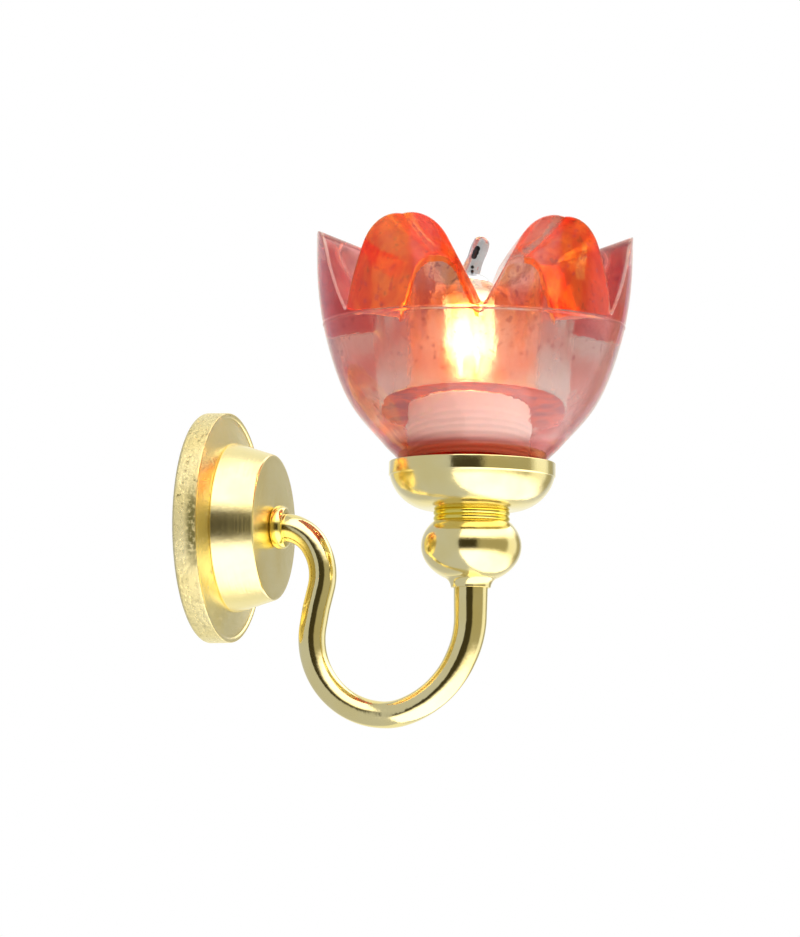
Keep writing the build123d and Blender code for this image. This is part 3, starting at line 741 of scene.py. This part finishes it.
CUP_RIM_R = radius_of("gallery_cup")
CUP_BAND_Z = 3.15
CUP_BOWL_R = CUP_RIM_R - 0.07
CUP_FOOT_R = 2.6
CUP_MOUTH_R = 4.9
CUP_LEDGE_R = 4.35
CUP_LEDGE_Z = 3.2
CUP_FLOOR_R, CUP_FLOOR_Z = 2.9, 1.75


def make_cup():
    """The gallery cup: a round bowl under a plain rim band, with the shade's ledge inside."""
    rise, reach = CUP_BAND_Z - CUP_LOW, CUP_BOWL_R - CUP_FOOT_R
    radius = rise / 2 + reach * reach / 2 / rise
    half_chord = hypot(rise, reach) / 2
    bulge = radius - sqrt(radius * radius - half_chord * half_chord)
    outline = (
        [(NIPPLE_HOLE_R, CUP_FLOOR_Z), (NIPPLE_HOLE_R, CUP_LOW)]
        + bow((CUP_FOOT_R, CUP_LOW), (CUP_BOWL_R, CUP_BAND_Z), -bulge, 32)
        + [
            (CUP_RIM_R, CUP_BAND_Z + 0.06),
            (CUP_RIM_R, CUP_HIGH),
            (CUP_MOUTH_R, CUP_HIGH),
            (CUP_MOUTH_R, CUP_LEDGE_Z),
            (CUP_LEDGE_R, CUP_LEDGE_Z),
            (CUP_FLOOR_R, CUP_FLOOR_Z),
        ]
    )
    mesh = turned("gallery", softened(outline, 0.09), count=192)
    piece("gallery", mesh, brass("cup_brass", "Z", 0.10, 0.003, 7.0), "gallery_cup")


# --- Shade ------------------------------------------------------------------------------------------------
PETALS = 6
SLEEVE_LOW_Z, SLEEVE_HIGH_Z = levels("shade_sleeve")
SLEEVE_X = sum(levels("shade_sleeve", "x")) / 2
SLEEVE_AXIS = Matrix.Translation((SLEEVE_X, 0, 0))
SLEEVE_CREST_R = radius_of("shade_sleeve")
THREAD_DEPTH = 0.09
THREAD_PITCH = 0.52
FOOT_RINGS = 3
BORE_R = SLEEVE_CREST_R - THREAD_DEPTH - 0.02
VALLEY_ANGLE = radians(-12)
VALLEY_Z = 13.1
SHADE_LOW, SHADE_HIGH = levels("shade")
SHADE_TIP_R = 10.37
SHADE_OUTLINE = [(4.68, 3.95), (5.72, 5.14), (7.95, 7.77), (9.55, 11.7), (10.12, 14.4), (SHADE_TIP_R, 19.15)]
SHADE_START, SHADE_END = (0.45, 1), (0, 1)
PETAL_TIP_H = 5.95
PETAL_INNER_H = 3.85
CAVITY_FLOOR_Z = 9.3
CAVITY_FLOOR_R = 4.35
CAVITY_TOP_R = 4.6
INNER_WALL_SLOPE = 2.6
OUTER_WALL_SLOPE = 1.8
SLOPE_NEAR, SLOPE_FAR = 3.73, 10.62
VALLEY_ROUND = 0.25
EDGE_ROUND = 0.12
PARTING_H = 0.05
HALF_PITCH = tan(pi / PETALS)
PETAL_COS = cos(pi / PETALS)
RIDGE_SLOPE = (PETAL_TIP_H - PETAL_INNER_H) / ((SHADE_TIP_R - CAVITY_TOP_R) * PETAL_COS)

# Name, share of clear light, roughness, two tints and the tint of what it mirrors
SHADE_FINISHES = [
    ("outer", 0.95, 0.02, PINK, PINK_GREY_SEE_THROUGH, SHEEN_PINK),
    ("crown", 0.88, 0.04, MAGENTA, ROSE, SHEEN_ROSE),
    # The inner wall's warm orange runs are painted light from the bulb
    ("inner", 0.96, 0.24, PINK_PALE, WARM_LAMPLIGHT, SHEEN_PINK),
    ("lacquer", 0.55, 0.04, ORANGE_RED, ORANGE, SHEEN_ORANGE),
    ("floor", 0.12, 0.08, RED, MAGENTA, SHEEN_ROSE),
    # The foot's bore rings take painted shade in deep red
    ("foot", 0.20, 0.10, RED_SHADED, RED, SHEEN_ROSE),
    # The edges' whitish pink is a painted highlight
    ("edge", 0.82, 0.08, PINK_WHITE_HIGHLIGHT, PINK_PALE, SHEEN_PINK),
    # The lip's gold is a painted glint of the bulb's light
    ("lip", 0.45, 0.10, GLINT_AND_RUN_GOLD, ORANGE, SHEEN_ORANGE),
]
OUTER, CROWN, INNER, LACQUER, FLOOR, FOOT, HIGHLIT_EDGE, GLINT_LIP = range(len(SHADE_FINISHES))
LACQUERED_TURNS = [(-132, -72), (-42, -12)]


def turn_degrees(turn):
    """An angle about the lamp axis in degrees, from -180 to 180."""
    return (turn * 180 / pi + 180) % 360 - 180


def petal_height(radius, angle):
    """The shade's top surface above the valley level, at a radius and an angle from the nearest valley."""
    distance, off = radius * cos(angle), abs(radius * sin(angle))
    share = (distance - SLOPE_NEAR) / (SLOPE_FAR - SLOPE_NEAR)
    slope = INNER_WALL_SLOPE + (OUTER_WALL_SLOPE - INNER_WALL_SLOPE) * share
    lean = atan(slope)
    half = distance * HALF_PITCH
    ridge = PETAL_INNER_H + (distance - CAVITY_TOP_R * PETAL_COS) * RIDGE_SLOPE
    crown = (slope * half - ridge) / (slope * sin(lean) + cos(lean) - 1)
    if off > half - crown * sin(lean):
        return ridge - crown + sqrt(max(0.0, crown * crown - (half - off) ** 2))
    low_x = VALLEY_ROUND * sin(lean)
    if off > low_x:
        return slope * off
    return slope * low_x + VALLEY_ROUND * cos(lean) - sqrt(VALLEY_ROUND**2 - off**2)


def bulge_points(steps=24):
    """The shade's outer outline: a smooth cubic through its points."""
    points = [Vector(p) for p in SHADE_OUTLINE]
    slopes = [Vector(SHADE_START).normalized() * (points[1] - points[0]).length]
    for i in range(1, len(points) - 1):
        before, after = points[i] - points[i - 1], points[i + 1] - points[i]
        a, b = before.length, after.length
        slopes.append((before / a * b + after / b * a) / (a + b))
    slopes = [slopes[0].normalized()] + slopes[1:] + [Vector(SHADE_END)]
    made = []
    for i in range(len(points) - 1):
        length = (points[i + 1] - points[i]).length
        for j in range(steps):
            t = j / steps
            made.append(
                points[i] * (2 * t**3 - 3 * t**2 + 1)
                + slopes[i] * length * (t**3 - 2 * t**2 + t)
                + points[i + 1] * (3 * t**2 - 2 * t**3)
                + slopes[i + 1] * length * (t**3 - t**2)
            )
    return made + [points[-1]]


OUTLINE = bulge_points()


def outer_radius(height):
    """The radius of the shade's outer face at a height."""
    for low, high in zip(OUTLINE, OUTLINE[1:]):
        if height <= high.y:
            return low.x + (high.x - low.x) * (height - low.y) / (high.y - low.y)
    return OUTLINE[-1].x


def cavity_radius(height):
    """The radius of the shade's cavity at a height."""
    share = (height - CAVITY_FLOOR_Z) / (SHADE_HIGH - CAVITY_FLOOR_Z)
    return CAVITY_FLOOR_R + (CAVITY_TOP_R - CAVITY_FLOOR_R) * share


def meeting(radius_at, angle):
    """The height where the petals' surface meets an upright face."""
    low, high = VALLEY_Z - 1, VALLEY_Z + PETAL_TIP_H + 1
    for _ in range(40):
        middle = (low + high) / 2
        if VALLEY_Z + petal_height(radius_at(middle), angle) > middle:
            low = middle
        else:
            high = middle
    return (low + high) / 2


def parting(height):
    """The small raised line that the mould left at the valleys' level."""
    return PARTING_H * max(0.0, 1 - abs(height - VALLEY_Z + 0.1) / 0.14)


def bore_reach(turn, radius):
    """How far the sleeve's bore, a little off the lamp axis, reaches in one direction."""
    off = SLEEVE_X - LAMP_X
    return off * cos(turn) + sqrt(radius * radius - (off * sin(turn)) ** 2)


def outer_side(edge_z):
    """The outer face from the foot to just under a petal's edge, finer over the mould line."""
    foot_z = SHADE_OUTLINE[0][1]
    heights = [foot_z] + spread(foot_z, VALLEY_Z - 0.3, 56)
    heights += spread(heights[-1], VALLEY_Z + 0.1, 10)
    heights += spread(heights[-1], edge_z - EDGE_ROUND, 36)
    return [(outer_radius(z) + parting(z), z) for z in heights]


def ringed_bore(bore, groove):
    """The foot's bore from the sleeve's lower end down, with rings that match its thread."""
    points = [(bore, SLEEVE_LOW_Z)]
    for i in range(FOOT_RINGS):
        level = SLEEVE_LOW_Z - i * THREAD_PITCH
        points += [(groove, level - THREAD_PITCH / 2), (bore, level - THREAD_PITCH)]
    return points


def shade_section(angle, turn):
    """One radial section of the shade, as (radius, height) points, with the same count at every angle, and
    the finish at each point."""
    bore, groove = bore_reach(turn, BORE_R), bore_reach(turn, BORE_R + THREAD_DEPTH)
    lacquered = any(low < turn_degrees(turn) < high for low, high in LACQUERED_TURNS)
    crown, edge = (LACQUER, GLINT_LIP) if lacquered else (CROWN, HIGHLIT_EDGE)
    edge_z, lip_z = meeting(outer_radius, angle), meeting(cavity_radius, angle)
    edge_r, lip_r = outer_radius(edge_z), cavity_radius(lip_z)
    foot_r = SHADE_OUTLINE[0][0]
    foot = [(bore, SHADE_LOW), (foot_r - 0.05, SHADE_LOW), (foot_r, SHADE_LOW + 0.05)]
    outer = outer_side(edge_z)
    inward = Vector((edge_r - EDGE_ROUND, VALLEY_Z + petal_height(edge_r - EDGE_ROUND, angle)))
    rim = turn_corner(Vector(outer[-1]), Vector((edge_r, edge_z)), inward, 5)
    radii = spread(edge_r - EDGE_ROUND, lip_r + EDGE_ROUND, 48)
    top = [(r, VALLEY_Z + petal_height(r, angle)) for r in radii]
    drop = Vector((cavity_radius(lip_z - EDGE_ROUND), lip_z - EDGE_ROUND))
    lip = turn_corner(Vector(top[-1]), Vector((lip_r, lip_z)), drop, 5)
    wall = [(cavity_radius(z), z) for z in spread(drop.y, CAVITY_FLOOR_Z + 0.1, 30)]
    floor = [(CAVITY_FLOOR_R - 0.03, CAVITY_FLOOR_Z + 0.03), (CAVITY_FLOOR_R - 0.1, CAVITY_FLOOR_Z)]
    parts = [foot, outer, rim, top, lip, wall, floor, [(bore, CAVITY_FLOOR_Z)], ringed_bore(bore, groove)]
    zones = [OUTER, OUTER, HIGHLIT_EDGE, crown, edge, INNER, FLOOR, INNER, FOOT]
    return [p for part in parts for p in part], [z for part, z in zip(parts, zones) for _ in part]


def turn_corner(first, corner, last, steps):
    """Points that round a corner, after the first and up to the last."""
    shares = [i / steps for i in range(1, steps + 1)]
    return [tuple(first * (1 - t) ** 2 + corner * 2 * t * (1 - t) + last * t * t) for t in shares]


def make_shade():
    """The shade as one closed skin of radial sections, closer together in the valleys."""
    per_side = 40
    offsets = [(i / per_side) ** 1.4 * pi / PETALS for i in range(per_side)]
    offsets = [-o for o in offsets[:0:-1]] + offsets + [pi / PETALS]
    sections, columns = [], []
    for valley in range(PETALS):
        for offset in offsets:
            turn = VALLEY_ANGLE + 2 * pi * valley / PETALS + offset
            points, zones = shade_section(offset, turn)
            columns.append(zones)
            sections.append([(LAMP_X + r * cos(turn), r * sin(turn), z) for r, z in points])
    rings = [list(ring) for ring in zip(*sections)]
    zones = [list(ring) for ring in zip(*columns)]
    mesh = skin("tulip_shade", rings, zones=zones, sharp=radians(50))
    finishes = [acrylic(*finish) for finish in SHADE_FINISHES]
    piece("tulip_shade", mesh, finishes, "shade", "shade")


# --- Threaded sleeve and lampholder -----------------------------------------------------------------------
THREAD_TURNS = 7
SLEEVE_BORE_R = 2.4
SLEEVE_CHAMFER = 0.06


def make_sleeve():
    """The white sleeve with its helical thread."""
    low, high = SLEEVE_LOW_Z, SLEEVE_HIGH_Z
    count, steps = 144, 8
    root = SLEEVE_CREST_R - THREAD_DEPTH
    rows = [low + THREAD_PITCH * i / steps for i in range(THREAD_TURNS * steps + 1)]
    rings = [circle(SLEEVE_BORE_R, z, SLEEVE_AXIS, count) for z in (high, low)]
    for z in rows + [high - SLEEVE_CHAMFER]:
        rise = (z - low) / THREAD_PITCH
        inside = min(1.0, rise, max(0.0, THREAD_TURNS - rise))
        ring = []
        for j in range(count):
            radius = root + THREAD_DEPTH * inside * (1 - abs(2 * ((rise - j / count) % 1.0) - 1))
            turn = 2 * pi * j / count
            ring.append((SLEEVE_X + radius * cos(turn), radius * sin(turn), z))
        rings.append(ring)
    rings.append(circle(root - SLEEVE_CHAMFER, high, SLEEVE_AXIS, count))
    mesh = skin("screw_sleeve", rings, sharp=radians(60))
    finish = nylon("sleeve_nylon", *SLEEVE_TINTS)
    piece("screw_sleeve", mesh, finish, "shade_sleeve", "shade")


# --- Bulb -------------------------------------------------------------------------------------------------
HOLDER_TOP = levels("lampholder")[1]
BULB_LEAN = radians(-2.7)
BULB_PLACE = Matrix.Translation((LAMP_X, 0, HOLDER_TOP)) @ Matrix.Rotation(BULB_LEAN, 4, "Y")
BULB_R = 1.65
CAP_H = 1.5
SHOULDER_H = 7.55
DOME_H = 8.85
GLASS_T = 0.18
TIP_R = 0.57
TIP_LEAN = radians(21)
TIP_LEN = 2.4
TIP_ROOT_H = DOME_H - 0.45
TIP_SWELL = 1.05
FILAMENT_X = -0.15
FILAMENT_HALF_W = 0.6
FILAMENT_LOW_H = 3.3
FILAMENT_TOP_H = 6.8
GLOW_LOW_Z, GLOW_HIGH_Z = levels("filament")
TIP_WAY = Vector((sin(TIP_LEAN), 0, cos(TIP_LEAN)))
# Dark spots on the tip, the first three a painted dark reflection and the last two small specks: how far up
# the tip, how far aside, and their reach
TIP_DARK_SPOTS = [(1.35, 0.0, 0.24), (1.6, 0.02, 0.25), (1.85, 0.04, 0.22), (0.55, 0.2, 0.13), (0.25, 0.3, 0.12)]


def make_bulb_glass():
    """The glass envelope: a straight side, a dome and the bent tip where it was sealed off."""
    count = 96
    inner_r = BULB_R - GLASS_T
    inner_h = DOME_H - GLASS_T - SHOULDER_H
    inner = [(inner_r * cos(a), SHOULDER_H + inner_h * sin(a)) for a in quarter(14)][::-1]
    inner += [(inner_r, h) for h in spread(SHOULDER_H, CAP_H, 10)]
    outer = [(BULB_R, h) for h in [CAP_H] + spread(CAP_H, SHOULDER_H, 10)]
    rings = [circle(r, h, BULB_PLACE, count) for r, h in inner + outer]
    dome, root_r, reach = 14, TIP_R * TIP_SWELL, TIP_LEN - 0.1
    for i in range(1, dome + 1):
        t = i / dome
        height = SHOULDER_H + (TIP_ROOT_H - SHOULDER_H) * sin(t * pi / 2)
        tilt = BULB_LEAN + (TIP_LEAN - BULB_LEAN) * t * t
        radius = root_r + (BULB_R - root_r) * (1 - t ** 1.5)
        rings.append(tilted_ring(BULB_PLACE @ Vector((0, 0, height)), tilt, radius, count))
    base = BULB_PLACE @ Vector((0, 0, TIP_ROOT_H))
    for i in range(1, 9):
        t = i / 8
        swell = TIP_R * (TIP_SWELL - 0.10 * t + 0.05 * sin(3 * pi * t))
        rings.append(tilted_ring(base + TIP_WAY * reach * t, TIP_LEAN, swell, count))
    for a in quarter(8)[1:]:
        centre = base + TIP_WAY * (reach + TIP_R * 0.8 * sin(a))
        rings.append(tilted_ring(centre, TIP_LEAN, TIP_R * 0.95 * cos(a), count))
    mesh = skin("bulb_envelope", rings, loop=False, sharp=radians(70))
    piece("bulb_envelope", mesh, bulb_envelope("bulb_glass"), "bulb_glass", "bulb")


def quarter(steps):
    """Angles from nothing to a quarter turn."""
    return [pi / 2 * i / steps for i in range(steps + 1)]


def tilted_ring(centre, tilt, radius, count):
    """A ring about a point, its axis leaning towards +X."""
    place = Matrix.Translation(centre) @ Matrix.Rotation(tilt, 4, "Y")
    return circle(max(radius, 0.0), 0, place, count)


def arch_point(share):
    """A point on the filament's arch, in the bulb's own XZ plane, and its direction."""
    leg = FILAMENT_TOP_H - FILAMENT_HALF_W - FILAMENT_LOW_H
    turn = pi * FILAMENT_HALF_W
    along = share * (2 * leg + turn)
    if along < leg:
        return Vector((FILAMENT_X - FILAMENT_HALF_W, 0, FILAMENT_LOW_H + along)), Vector((0, 0, 1))
    if along < leg + turn:
        a = pi - (along - leg) / FILAMENT_HALF_W
        centre = Vector((FILAMENT_X, 0, FILAMENT_TOP_H - FILAMENT_HALF_W))
        return centre + Vector((cos(a), 0, sin(a))) * FILAMENT_HALF_W, Vector((sin(a), 0, -cos(a)))
    height = FILAMENT_LOW_H + 2 * leg + turn - along
    return Vector((FILAMENT_X + FILAMENT_HALF_W, 0, height)), Vector((0, 0, -1))


def make_filament():
    """The coiled filament on its arch."""
    turns, steps, coil_r, wire_r = 80, 12, 0.095, 0.028
    centres = []
    for i in range(turns * steps + 1):
        point, way = arch_point(i / (turns * steps))
        a = 2 * pi * i / steps
        across = way.cross(Vector((0, 1, 0)))
        centres.append(point + across * coil_r * cos(a) + Vector((0, 1, 0)) * coil_r * sin(a))
    rings = []
    for i, centre in enumerate(centres):
        way = (centres[min(i + 1, len(centres) - 1)] - centres[max(i - 1, 0)]).normalized()
        side = way.orthogonal().normalized() if i == 0 else (side - way * side.dot(way)).normalized()
        up = way.cross(side)
        ring = [side * cos(2 * pi * j / 6) + up * sin(2 * pi * j / 6) for j in range(6)]
        rings.append([BULB_PLACE @ (centre + p * wire_r) for p in ring])
    rings = [[rings[0][0]] * 6] + rings + [[rings[-1][0]] * 6]
    mesh = skin("filament_coil", rings, loop=False, sharp=pi)
    piece("filament_coil", mesh, hot_wire("filament_wire", 440.0), "filament", "bulb")


def make_cap():
    """The bulb's rolled metal cap."""
    r, lip = radius_of("bulb_cap"), BULB_R - 0.15
    groove_r = r - 0.06
    outline = [(0.0, 0.1), (r - 0.2, 0.1), (r, 0.3), (r, 1.2), (groove_r, 1.26), (groove_r, 1.34), (r, 1.4)]
    outline += [(r, CAP_H), (lip, CAP_H), (lip, 0.6), (0.0, 0.6)]
    mesh = turned("bulb_base_cap", softened(outline, 0.05), BULB_PLACE, 96, loop=False)
    piece("bulb_base_cap", mesh, metal("cap_metal", *CAP_TINTS, 0.25), "bulb_cap", "bulb")


# --- Pieces whose CAD shape is kept -----------------------------------------------------------------------
def dress(material, *names):
    """Give CAD nodes a finished material."""
    for name in names:
        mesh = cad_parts[name].data
        mesh.materials.clear()
        mesh.materials.append(material)


def dress_cad_nodes():
    """Finish the inner pieces that keep their CAD shape."""
    dress(brass("nut_brass", "Z", 0.2, 0.01, 10.0), "arm_lock_nut", "centre_nipple", "gallery_nut")
    dress(nylon("holder_nylon", *HOLDER_TINTS), "lampholder", "lead_bush")
    contact = metal("contact_metal", *CONTACT_TINTS, 0.2)
    dress(contact, "socket_contact_near", "socket_contact_far", "filament_posts", "bulb_pins")
    dress(nylon("stem_glass", *STEM_TINTS, 0.15), "bulb_stem")
    dress(rubbery("lead_insulation", *LEAD_TINTS, 0.4, 4.0, 0.01), "lead_near", "lead_far")
    dress(rubbery("pad_foam", *PAD_TINTS, 0.8, 5.0, 0.05), "fixing_pad")


# --- Studio -----------------------------------------------------------------------------------------------
CAMERA_DISTANCE = 0.3
CAMERA_AZIMUTH = radians(15.7)
CAMERA_ELEVATION = radians(-6.0)
CAMERA_ROLL = radians(0.8)
CAMERA_LENS = 175.77
CAMERA_AIM = Vector((-0.00104, 0, 0.00086))
FLOOR_DROP = 0.045
FLOOR_HALF_W = 3.0


def make_camera():
    """A long lens, a little below the lamp and to its right."""
    aim = (cad_box[0] + cad_box[1]) / 2 + CAMERA_AIM
    level = cos(CAMERA_ELEVATION)
    back = Vector((sin(CAMERA_AZIMUTH) * level, -cos(CAMERA_AZIMUTH) * level, sin(CAMERA_ELEVATION)))
    data = bpy.data.cameras.new("camera")
    data.lens = CAMERA_LENS
    data.clip_start = 0.01
    camera = bpy.data.objects.new("camera", data)
    turn = (-back).to_track_quat("-Z", "Y").to_matrix().to_4x4() @ Matrix.Rotation(CAMERA_ROLL, 4, "Z")
    camera.matrix_world = Matrix.Translation(aim + back * CAMERA_DISTANCE) @ turn
    bpy.context.scene.collection.objects.link(camera)
    bpy.context.scene.camera = camera


def make_floor():
    """A plain pale floor, well below the lamp because the lamp hangs on a wall."""
    mesh = bpy.data.meshes.new("floor")
    z, half = cad_box[0].z - FLOOR_DROP, FLOOR_HALF_W
    corners = [(-half, -half, z), (half, -half, z), (half, half, z), (-half, half, z)]
    mesh.from_pydata(corners, [], [(0, 1, 2, 3)])
    floor = bpy.data.objects.new("floor", mesh)
    bpy.context.scene.collection.objects.link(floor)
    mesh.materials.append(rubbery("floor_paper", *FLOOR_TINTS, 0.7, 0.3, 0.02))
    for ray in ("glossy", "transmission", "diffuse", "shadow"):
        setattr(floor, "visible_" + ray, False)


SWEEP = (0.60, 0.62, 0.72, 1)
SOFTBOX = (2.5, 2.4, 2.5, 1)
TABLE = (2.4, 2.3, 2.4, 1)
ROOM_DARK = (0.05, 0.042, 0.02, 1)
ROOM_MID = (0.44, 0.41, 0.30, 1)
CARD = (1.1, 1.1, 1.1, 1)
BEHIND = (1.0, 1.0, 0.92, 1)
BACKDROP_LOW = (0.36, 0.36, 0.36, 1)
BACKDROP_HIGH = (0.54, 0.54, 0.54, 1)
WHITE = (1, 1, 1, 1)
FLAG_EDGE = radians(-31)
MID_TURNS = radians(8), radians(20)
CARD_TURNS = radians(85), radians(100), radians(120), radians(135)
BEHIND_TURNS = radians(150), radians(168)
SOFTBOX_RISES = radians(14), radians(34)
TABLE_RISES = radians(-14), radians(-36)
BACKDROP_RISES = radians(-20), radians(40)


def make_light():
    """Soft studio light: a cool sweep on the left, and a softbox, a lit table and a dark end on the right.
    What shows through the clear shade is a plain backdrop, paler at the top."""
    world = bpy.data.worlds.new("studio")
    bpy.context.scene.world = world
    world.use_nodes = True
    tree = world.node_tree
    tree.nodes.clear()
    way = node(tree, "TexCoord").outputs["Generated"]
    turn = {"Vector": way, "Angle": -CAMERA_AZIMUTH}
    turned_way = node(tree, "VectorRotate", turn, rotation_type="Z_AXIS").outputs[0]
    x, y, z = node(tree, "SeparateXYZ", {0: turned_way}).outputs
    side = maths(tree, "ARCTAN2", x, product(tree, y, -1.0))
    rise = maths(tree, "ARCSINE", z)
    past_flag = maths(tree, "MULTIPLY_ADD", x, cos(FLAG_EDGE), product(tree, y, sin(FLAG_EDGE)))
    lit_side = step_between(tree, past_flag, -0.02, 0.02)
    far_round = step_between(tree, maths(tree, "ABSOLUTE", side), *BEHIND_TURNS)
    light = blend(tree, step_between(tree, side, *MID_TURNS), ROOM_DARK, ROOM_MID)
    light = blend(tree, window(tree, side, *CARD_TURNS), light, CARD)
    light = blend(tree, step_between(tree, rise, *SOFTBOX_RISES), light, SOFTBOX)
    light = blend(tree, step_between(tree, rise, *TABLE_RISES), light, TABLE)
    light = blend(tree, lit_side, SWEEP, light)
    light = blend(tree, far_round, light, BEHIND)
    path = node(tree, "LightPath").outputs
    backdrop = blend(tree, step_between(tree, rise, *BACKDROP_RISES), BACKDROP_LOW, BACKDROP_HIGH)
    light = blend(tree, path["Is Transmission Ray"], light, backdrop)
    light = blend(tree, path["Is Camera Ray"], light, WHITE)
    background = node(tree, "Background", {"Color": light})
    tree.links.new(background.outputs[0], node(tree, "OutputWorld").inputs["Surface"])
    bpy.context.scene.view_settings.view_transform = "Standard"


make_camera()
make_floor()
make_light()
make_plate()
make_canopy()
make_root_bead()
make_arm()
make_collar()
make_ball()
make_neck()
make_cup()
make_shade()
make_sleeve()
make_bulb_glass()
make_filament()
make_cap()
dress_cad_nodes()
